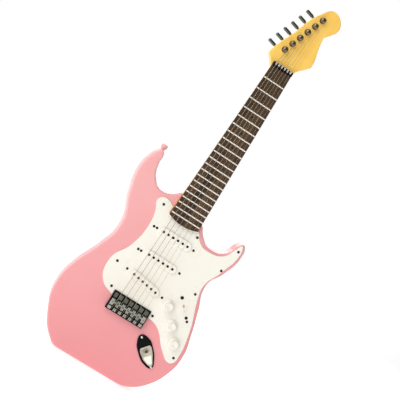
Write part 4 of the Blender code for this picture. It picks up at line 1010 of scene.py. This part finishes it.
def neck():
    bar = loft([neck_ring(*section) for section in neck_sections()])
    plan = four_corners(half_width(HEEL_END_Z), HEEL_END_Z, half_width(TONGUE_TOP_Z), TONGUE_TOP_Z)
    tongue = slab(plan, -BODY_FACE + 0.2, NECK_FACE + HEEL_DEPTH, steps=1)
    head = slab(HEADSTOCK_OUTLINE, NECK_FACE, HEAD_BACK, rounding=1.5, round_steps=4)
    join(bar, tongue, head)
    posts = [POST_FIRST + POST_STEP * index for index in STRINGS]
    cut(bar, *[deep_rod(POST_WAIST + GAP, post.x, post.z, -FAR, 0, 24) for post in posts])
    piece("neck_maple", bar, MAPLE, "neck")


def fret_places():
    """Heights of the frets from the nut down, closer and closer together."""
    place = NUT_Z
    for index in range(FRETS):
        place -= 9.5 + 13.5 * 0.85**index
        yield place


def fret(name, z):
    """Crowned wire across the board, with its ends filed down."""
    reach = half_width(z) - 0.5
    turns = [math.pi * step / 10 for step in range(11)]
    rings = []
    for x, share in ((-reach, 0.55), (-reach + 0.7, 1.0), (reach - 0.7, 1.0), (reach, 0.55)):
        high = FRET_RISE * share
        ring = [(x, BOARD_FACE - high * math.sin(turn), z + FRET_HALF * math.cos(turn)) for turn in turns]
        rings.append(ring + [(x, BOARD_FACE + 0.3, z + side) for side in (-FRET_HALF, FRET_HALF)])
    piece(name, loft(rings), FRET)


def inlay_dots(frets):
    """A dot before each marked fret, and two before the twelfth."""
    for number in DOTTED_FRETS:
        middle = (frets[number - 2] + frets[number - 1]) / 2
        for side in ((-1, 1) if number == 12 else (0,)):
            dot = deep_rod(2.1, side * 7.0, middle, BOARD_FACE + 0.6, BOARD_FACE - 0.12, 28, soft=0.1)
            piece(f"inlay_{number}_{side + 1}", dot, DOT)


def fingerboard():
    end, top = half_width(BOARD_CORNER_Z - GAP), NUT_Z - GAP
    plan = (
        (-NUT_HALF_WIDTH, top, "C"), (-end, BOARD_CORNER_Z, "C"), (-14, 276.2), (0, BOARD_END_Z, "H"),
        (14, 276.2), (end, BOARD_CORNER_Z, "C"), (NUT_HALF_WIDTH, top, "C"),
    )
    board = slab(plan, BOARD_FACE, NECK_FACE - GAP, rounding=0.5, round_steps=2)
    piece("fingerboard_wood", board, ROSEWOOD, "fingerboard")
    frets = list(fret_places())
    for index, z in enumerate(frets):
        fret(f"fret_{index + 1}", z)
    inlay_dots(frets)


def nut():
    top, above = NUT_Z + NUT_THICK, NUT_Z + 12
    bar = block((-NUT_HALF_WIDTH, NUT_FRONT, NUT_Z), (NUT_HALF_WIDTH, NECK_FACE - GAP, top), soft=0.5)
    ways = [string_at_nut(index) for index in STRINGS]
    cuts = []
    for x in ways:
        cuts.append(block((x - 1.1, -FAR, NUT_Z - 4), (x + 1.1, NUT_SLOT_Y, above)))
        cuts.append(block((x - INSERT, -FAR, NUT_Z + 2.6), (x + INSERT, -28.4, above)))
    piece("nut_bar", cut(bar, *cuts), BLACK, "nut")
    # Each white insert under a string is a painted highlight in the nut's slot.
    for index, x in enumerate(ways):
        insert = block((x - INSERT, -30.95, NUT_Z + 2.7), (x + INSERT, -28.3, top + 0.3), soft=0.25)
        piece(f"nut_insert_{index + 1}", insert, INSERT_HIGHLIGHT_WHITE)


def neck_plate():
    front = BODY_FACE + GAP
    back = front + 1.6
    plate = slab(four_corners(20, 259.5, 20, 291.5), front, back, rounding=0.4, steps=1)
    piece("neck_plate_metal", plate, CHROME, "neck_plate")
    for index, (x, z) in enumerate(NECK_SCREWS):
        name, node = f"neck_screw_head_{index + 1}", f"neck_screw_{index + 1}"
        screw(name, (x, back, z), BACK, 3.1, 1.9, STEEL, index * 0.9, node)


# ---------------- tuners
# Each corner of a tooth is (share of the tooth's turn, radius).
GEAR_TOOTH = ((0.0, 2.35), (0.28, 2.4), (0.42, 2.95), (0.72, 2.95), (0.86, 2.4))
GEAR_TEETH = 14
GEAR_THICK = 2.9
PEG_SHAFT = 0.95
POST_TOP = 4.7
BUSHING_INNER, BUSHING_OUTER, BUSHING_RISE = 3.1, 5.2, 0.9
WORM_TURNS, WORM_STEPS = 6, 36
EAR_REACH, EAR_HALF = 4.2, 0.6


def worm_centre(index):
    centre = POST_FIRST + POST_STEP * index - PEG_ACROSS * WORM_OFFSET
    centre.y = WORM_Y
    return centre


def tuner_plate():
    lean = math.atan2(POST_STEP.x, POST_STEP.z)
    middle = POST_FIRST + POST_STEP * MIDDLE - PEG_ACROSS * 2.1
    reach = POST_STEP.length * MIDDLE + 8.0
    front = HEAD_BACK + GAP
    back = front + 1.2
    plate = block((-6.6, front, -reach), (6.6, back, reach), lean, middle, soft=0.3)
    cuts = []
    for index in STRINGS:
        post, centre = POST_FIRST + POST_STEP * index, worm_centre(index)
        for side in (-EAR_REACH, EAR_REACH):
            low, high = (side - EAR_HALF, front + 0.5, -2.2), (side + EAR_HALF, WORM_Y + 2.3, 2.2)
            join(plate, block(low, high, PEG_TURN, (centre.x, 0, centre.z), soft=0.3))
        cuts.append(rod(PEG_SHAFT + 0.15, centre - PEG_WAY * 6.4, centre + PEG_WAY * 6.4, 20))
        cuts.append(deep_rod(POST_WAIST + GAP, post.x, post.z, -30, 0, 24))
    piece("tuner_plate_metal", cut(plate, *cuts), CHROME, "tuner_plate")
    along = Vector((math.sin(lean), 0, math.cos(lean)))
    for index in range(len(STRINGS) + 1):
        spot = middle + along * (index - len(STRINGS) / 2) * POST_STEP.length + Vector((4.2, 0, 0))
        screw(f"tuner_plate_screw_{index + 1}", (spot.x, back, spot.z), BACK, 1.3, 0.7, STEEL, index * 0.8)


def gear(place):
    """A spur gear on the post, behind the headstock."""
    outline = []
    for tooth in range(GEAR_TEETH):
        for share, radius in GEAR_TOOTH:
            turn = math.tau * (tooth + share) / GEAR_TEETH
            outline.append((radius * math.cos(turn), radius * math.sin(turn)))
    rings = [[(*point, height) for point in outline] for height in (0.0, GEAR_THICK)]
    return loft(rings, Matrix.Translation(Vector(place) * MM) @ Matrix.Rotation(math.radians(-90), 4, "X"))


def tuner_post(index):
    post = POST_FIRST + POST_STEP * index
    foot = (post.x, NECK_FACE, post.z)
    node = f"tuner_post_{index + 1}"
    profile = [(0, 9.6), *dome(POST_TOP, 7.0, 2.6, 8), (POST_TOP, 6.5), (4.3, 6.1), (POST_WAIST, 5.5)]
    profile += [(POST_WAIST, -17.3), (0, -17.3)]
    slot = block((-0.5, -40, -6), (0.5, NECK_FACE - 8.6, 6), 0.5, post)
    piece(f"post_{index + 1}", cut(turned(profile, foot, FRONT, 40), slot), GUNMETAL, node, node)
    piece(f"post_gear_{index + 1}", gear((post.x, -10.2, post.z)), STEEL, body=node, sharp=20)
    inner, outer, rise = BUSHING_INNER, BUSHING_OUTER, BUSHING_RISE
    ring = [(inner, rise), *rounded_corner(outer, rise, 0.5), (outer, 0.0), (inner, 0.0), (inner, rise)]
    piece(f"post_bushing_{index + 1}", turned(ring, foot, FRONT, 40), GUNMETAL)


def tuner_peg(index):
    node = f"tuner_peg_{index + 1}"
    centre = worm_centre(index)
    shares = [step / WORM_STEPS for step in range(WORM_STEPS + 1)]
    thread = [(1.05 + 0.2 * math.cos(math.tau * WORM_TURNS * share), 3.2 - 6.4 * share) for share in shares]
    profile = [
        (0, 14.6), (1.9, 14.6), (2.25, 14.2), (2.3, 12.6), (1.9, 12.0), (1.5, 11.8), (1.5, 5.3),
        (PEG_SHAFT, 5.2), (PEG_SHAFT, 3.3), *thread, (PEG_SHAFT, -3.3), (PEG_SHAFT, -5.5), (0, -5.6),
    ]
    piece(f"peg_shaft_{index + 1}", turned(profile, centre, PEG_WAY, 32), GUNMETAL, body=node)
    middle = centre + PEG_WAY * 21.4
    button = slab(
        round_ended(15.4, 5.6), WORM_Y - 3.6, WORM_Y + 3.6, rounding=2.3, steps=8, turn_y=PEG_TURN,
        place=(middle.x, 0, middle.z),
    )
    piece(f"peg_button_{index + 1}", button, PEG_METAL, node, node)


# ---------------- controls
SHUTTER_INNER, SHUTTER_OUTER = 7.0, 7.6
SHUTTER_HALF_WIDTH = 2.0
SHUTTER_REACH = math.radians(45)
SHUTTER_STEPS = 16


def knob(name):
    x, z = KNOB_PLACES[name]
    base = -GUARD_FRONT + GAP
    shaft_end = 10.2 - base
    profile = [(0, 12.2), (3.6, 12.2), (4.0, 12.4), *rounded_corner(6.3, 12.6, 0.6), (6.45, 10.6), (6.6, 8.6)]
    profile += [(6.8, 6.6), (7.0, 4.8), (7.3, 4.0), (8.4, 3.1), (9.9, 2.4), (10.25, 2.0), (10.3, 0.3)]
    profile += [(10.1, 0.0), (SHAFT_RADIUS, 0), (SHAFT_RADIUS, shaft_end), (0, shaft_end)]
    cap = turned(profile, (x, -base, z), FRONT, 144, ribs=(24, 0.35, 4.5, 11.9))
    pointer = block((-0.45, -base - 3.1, 7.4), (0.45, -base - 2.0, 9.9), place=(x, 0, z), soft=0.25)
    piece(f"{name}_cap", cap, KNOB_IVORY_SHADED, name, name, sharp=50)
    piece(f"{name}_pointer", pointer, KNOB_IVORY_SHADED, body=name)


def dust_shutter():
    """A curved strip on the lever that keeps the slot covered as the lever swings."""
    arc = [SHUTTER_REACH * (2 * step / SHUTTER_STEPS - 1) for step in range(SHUTTER_STEPS + 1)]
    rim = [(SHUTTER_OUTER, turn) for turn in arc] + [(SHUTTER_INNER, turn) for turn in reversed(arc)]
    rings = [
        [(radius * math.sin(turn), SELECTOR_PIVOT_Y - radius * math.cos(turn), side) for radius, turn in rim]
        for side in (-SHUTTER_HALF_WIDTH, SHUTTER_HALF_WIDTH)
    ]
    return loft(rings, turn_about(SELECTOR_TURN, SELECTOR_PLACE))


def selector():
    lever = "selector_lever"
    blade = block((-1, -30, -1), (1, SELECTOR_PIVOT_Y, 1), SELECTOR_TURN, SELECTOR_PLACE, soft=0.3)
    across = Matrix.Rotation(SELECTOR_TURN, 3, "Y") @ Vector((0, 0, 1))
    pivot = SELECTOR_PLACE + Vector((0, SELECTOR_PIVOT_Y, 0))
    hub = rod(1.8, pivot - across * 2, pivot + across * 2, soft=0.3)
    piece("selector_blade", join(blade, hub), KNOB_IVORY_SHADED, body=lever)
    piece("selector_shutter", dust_shutter(), KNOB_IVORY_SHADED, body=lever)
    ends = round_ended(4.2, 3.8)
    tip = slab(ends, -36.5, -27.5, rounding=0.9, steps=8, turn_y=SELECTOR_TURN, place=SELECTOR_PLACE)
    piece("selector_tip", tip, KNOB_IVORY_SHADED, lever, lever)


# ---------------- jack
SCOOP_BACK_Y = -13.0
SCOOP_SPLIT_Y = -20.0  # what lies behind this depth is the scoop's back
RAMP_START, RAMP_LENGTH, RAMP_RISE = 8.0, 16.5, 8.6
JACK_SCREWS = ((-25.2, 0.2), (27.3, -0.5))  # along and across the plate


def jack_shape(outline, front, back, **sizes):
    return slab(outline, front, back, steps=8, turn_y=JACK_TURN, place=JACK_PLACE, **sizes)


def jack_spot(along, across=0.0):
    return JACK_PLACE + Matrix.Rotation(JACK_TURN, 3, "Y") @ Vector((along, 0.0, across))


def scoop():
    """The dish's hollow: deep at the socket, and rising to the surface at the far tip."""
    room = jack_shape(JACK_DISH_OUTLINE, -FAR, SCOOP_BACK_Y, grow=-1.3)
    work = bmesh.new()
    work.from_mesh(room.data)
    split = SCOOP_SPLIT_Y * MM
    back_edges = [edge for edge in work.edges if all(point.co.y > split for point in edge.verts)]
    bmesh.ops.subdivide_edges(work, edges=back_edges, cuts=3, use_grid_fill=True)
    bmesh.ops.triangulate(work, faces=[face for face in work.faces if face.normal.y > 0.9])
    inverse = turn_about(JACK_TURN, JACK_PLACE).inverted()
    for point in work.verts:
        if point.co.y > split:
            along = (inverse @ point.co).x / MM
            share = min(max((along - RAMP_START) / RAMP_LENGTH, 0.0), 1.0)
            point.co.y -= RAMP_RISE * MM * share * share * (3 - 2 * share)
    work.to_mesh(room.data)
    work.free()
    return room


def jack():
    plate = jack_shape(JACK_PLATE_OUTLINE, -23.4, GUARD_BACK, rounding=0.7)
    cut(plate, jack_shape(JACK_DISH_OUTLINE, -FAR, -INSIDE, grow=GAP))
    piece("jack_plate_black", plate, BLACK, "jack_plate")
    dish = jack_shape(JACK_DISH_OUTLINE, -22.8, DISH_BACK_Y, rounding=0.3)
    spot = jack_spot(JACK_HOLE_ALONG)
    cut(dish, scoop(), deep_rod(SOCKET_RADIUS + GAP, spot.x, spot.z, -20, -5, 40))
    piece("jack_dish_metal", dish, DISH, "jack_dish")
    socket = deep_rod(SOCKET_RADIUS, spot.x, spot.z, 2.5, DISH_BACK_Y - 3.0, 40, soft=0.5)
    cut(socket, deep_rod(3.2, spot.x, spot.z, -20, 0))
    piece("jack_socket_sleeve", socket, DISH, "jack_socket")
    for index, (along, across) in enumerate(JACK_SCREWS):
        place = jack_spot(along, across)
        screw(f"jack_screw_{index + 1}", (place.x, -23.3, place.z), FRONT, 2.0, 0.9, CHROME, 0.6)


# ---------------- sound and power
# The speaker's profiles are (radius, height), from the grille inwards.
BASKET_PROFILE = (
    (0, 15.0), (8.6, 15.0), (9.0, 14.6), (9.0, 7.6), (16.0, 2.0), (20.6, 1.6), (21.0, 1.3), (21.0, 0.0),
    (18.6, 0.0), (18.6, 0.6), (15.0, 2.6), (7.6, 8.4), (7.6, 11.0), (0, 11.0),
)
CONE_PROFILE = (
    (0, 3.6), (2.6, 4.3), (5.0, 7.0), (6.2, 7.0), (14.6, 1.7), (15.4, 0.9), (16.4, 0.6), (17.3, 0.8),
    (18.0, 0.5), (18.0, 0.1), (17.0, 0.3), (16.0, 0.3), (14.4, 0.8), (5.6, 5.8), (2.8, 3.2), (0, 2.4),
)
BATTERY_Y = 11.2
BATTERY_HEIGHTS = (43.9, 60.1)
BATTERY_RIGHT_X = BATTERY_BOX[1] - 0.6 - 2 * GAP
BATTERY_LEFT_X = BATTERY_RIGHT_X - 49.2
# The end that a battery's flat face is at, and the way that its nub points.
BATTERY_ENDS = ((BATTERY_LEFT_X, 1), (BATTERY_RIGHT_X, -1))
SPRING_TURNS, SPRING_STEPS = 4.5, 96


def speaker():
    place = (SPEAKER_X, BODY_FACE - BODY_WALL - GAP, SPEAKER_Z)
    piece("speaker_basket", turned(BASKET_PROFILE, place, FRONT), STEEL, "speaker_frame")
    piece("speaker_paper_cone", turned(CONE_PROFILE, place, FRONT), PAPER, "speaker_cone")


def battery(index):
    """A cell with a rolled jacket edge, a copper-coloured shoulder and a steel nub."""
    name = f"battery_{index + 1}"
    end, side = BATTERY_ENDS[index]
    place, way = (end + side * 24.0, BATTERY_Y, BATTERY_HEIGHTS[index]), (side, 0, 0)
    jacket = [(0, 12.0), (7.1, 12.0), (7.1, -23.2), (6.8, -23.8), (6.2, -24.0), (5.9, -23.7), (0, -23.7)]
    shoulder = [(0, 23.7), (6.0, 23.7), (6.3, 24.0), (6.9, 23.8), (7.1, 23.2), (7.1, 12.0), (0, 12.0)]
    nub = [(0, 25.2), *rounded_corner(2.6, 25.2, 0.5), (2.6, 23.6), (0, 23.6)]
    piece(f"{name}_jacket", turned(jacket, place, way), JACKET, name)
    piece(f"{name}_shoulder", turned(shoulder, place, way), COPPER)
    piece(f"{name}_nub", turned(nub, place, way), CHROMED_STEEL)


def battery_springs():
    """A coned wire coil for each battery, on the plate at the left wall."""
    x = BATTERY_BOX[0] + GAP
    plate = block((x, 6.0, 38.0), (x + 0.6, 16.4, 66.0), soft=0.2)
    piece("spring_plate", plate, CHROMED_STEEL, "battery_spring")
    foot = x + 0.9
    reach = BATTERY_LEFT_X - GAP - foot - 0.6
    for index, z in enumerate(BATTERY_HEIGHTS):
        route = []
        for step in range(SPRING_STEPS + 1):
            share = step / SPRING_STEPS
            turn, radius = math.tau * SPRING_TURNS * share, 4.2 - 2.0 * share
            up = radius * math.sin(turn)
            route.append((foot + reach * share, BATTERY_Y + radius * math.cos(turn), z + up))
        piece(f"battery_coil_{index + 1}", tube(route, 0.3, 8), CHROMED_STEEL)


def battery_door():
    """The hinged door, with a finger notch and grip ribs near its top edge."""
    half, pin, y, z = DOOR_HALF_WIDTH, DOOR_PIN_REACH, DOOR_PIVOT_Y, DOOR_PIVOT_Z
    back = BODY_FACE - 0.1
    door = block((-half, BODY_FACE - 1.9, z), (half, back, DOOR_TOP_Z), soft=0.35)
    join(door, rod(0.9, (-half, y, z), (half, y, z), 24), rod(0.5, (-pin, y, z), (pin, y, z), 16))
    notch = slab(round_ended(16, 5), back - 0.7, FAR, place=(0, 0, DOOR_TOP_Z - 5.5))
    heights = [DOOR_TOP_Z - 12 - 2.2 * row for row in range(5)]
    cut(door, notch, *[rod(0.45, (-12, back + 0.1, up), (12, back + 0.1, up), 12) for up in heights])
    piece("door_panel", door, PINK, "battery_door", "battery_door")


def power_slider():
    inner, top = BODY_FACE - BODY_WALL - GAP, BODY_FACE + 1.6
    low_x, high_x, low_z, high_z = POWER_SLOT
    base = block((low_x - 4, inner - 1.2, low_z - 1.7), (high_x, inner, high_z + 1.7), soft=0.2)
    join(base, block((low_x + GAP, inner - 0.6, low_z + GAP), (low_x + 6.3, top, high_z - GAP), soft=0.3))
    places = [low_x + 1.5 + 1.25 * row for row in range(4)]
    cut(base, *[rod(0.35, (x, top + 0.1, low_z), (x, top + 0.1, high_z), 12) for x in places])
    piece("slider_base", base, BLACK, "power_slider", "power_slider")


def kept_cad_looks():
    """The CAD nodes whose shapes stay get their materials."""
    looks = {"circuit_board": printed_circuit(), "selector_body": BLACK[0], "battery_contact": CHROME[0]}
    for name, material in looks.items():
        mesh = frame["nodes"][name].data
        mesh.materials.clear()
        mesh.materials.append(material)


def build():
    body_front()
    body_back()
    shell_screws()
    pickguard()
    for name in PICKUPS:
        pickup(name)
    bridge_plate()
    bridge_pads()
    neck()
    fingerboard()
    nut()
    neck_plate()
    tuner_plate()
    for index in STRINGS:
        saddle(index)
        string(index)
        tuner_post(index)
        tuner_peg(index)
    for name in KNOB_PLACES:
        knob(name)
    selector()
    jack()
    speaker()
    battery(0)
    battery(1)
    battery_springs()
    battery_door()
    power_slider()
    kept_cad_looks()


# ---------------- stage, light and camera
CAMERA_TARGET = Vector((0.0065, 0.0, 0.326))
CAMERA_AZIMUTH = math.radians(9.0)  # towards the bass side
CAMERA_ROLL = math.radians(32.7)
CAMERA_DISTANCE = 1.8
CAMERA_LENS = 98.5
# Brightness against the angle from the bright side: 0 is behind the camera and 1 is behind the guitar.
WORLD_SHADES = ((0.08, 0.20), (0.34, 0.28), (0.55, 0.44), (0.78, 0.54), (0.86, 1.0))
WORLD_BRIGHT_WAY = (-0.30, 0.90, 0.32)


def camera():
    data = bpy.data.cameras.new("camera")
    data.lens = CAMERA_LENS
    data.sensor_width = 36.0
    made = new_object("camera", data)
    way = Vector((-math.sin(CAMERA_AZIMUTH), -math.cos(CAMERA_AZIMUTH), 0.0))
    made.location = CAMERA_TARGET + way * CAMERA_DISTANCE
    look = (-way).to_track_quat("-Z", "Y").to_matrix() @ Matrix.Rotation(CAMERA_ROLL, 3, "Z")
    made.rotation_euler = look.to_euler()
    bpy.context.scene.camera = made


def softbox(name, place, size, power):
    data = bpy.data.lights.new(name, "AREA")
    data.shape = "RECTANGLE"
    data.size, data.size_y = size
    data.energy = power
    made = new_object(name, data)
    made.location = place
    made.rotation_euler = (CAMERA_TARGET - Vector(place)).to_track_quat("-Z", "Y").to_euler()


def lights():
    softbox("key", (-1.5, -1.9, 1.6), (2.0, 2.0), 37.5)
    softbox("fill", (2.6, -1.1, 1.0), (1.6, 2.0), 2.2)
    softbox("back", (0.4, 1.9, 1.2), (1.6, 1.2), 10.0)


def world():
    """White behind the guitar and grey behind the camera, so that black stays black."""
    tree = Tree("studio", "worlds", "Background")
    facing = tree.add("VectorMath", {"operation": "DOT_PRODUCT"})
    tree.put(facing, 0, tree.add("TexCoord").outputs["Generated"])
    tree.put(facing, 1, WORLD_BRIGHT_WAY)
    span = tree.span(facing.outputs["Value"], 0.0, 1.0, -1.0, 1.0)
    stops = [(position, (shade, shade, shade)) for position, shade in WORLD_SHADES]
    bpy.context.scene.world = tree.finish(Color=tree.ramp(span, *stops))


def floor():
    work = bmesh.new()
    bmesh.ops.create_circle(work, cap_ends=True, segments=96, radius=9.0)
    made = solid_from(work)
    made.name = "studio_floor"
    made.location = (0.0, 0.0, -0.0004)
    tree = Tree("studio_floor")
    shade = tree.ramp(tree.noise(3.0, 2.0), (0.3, (0.80, 0.80, 0.80)), (0.7, (0.82, 0.82, 0.82)))
    made.data.materials.append(
        tree.finish(Base_Color=shade, Roughness=0.9, Emission_Color=(*WHITE, 1.0), Emission_Strength=0.54)
    )


camera()
build()
lights()
world()
floor()
bpy.context.scene.view_settings.view_transform = "Standard"
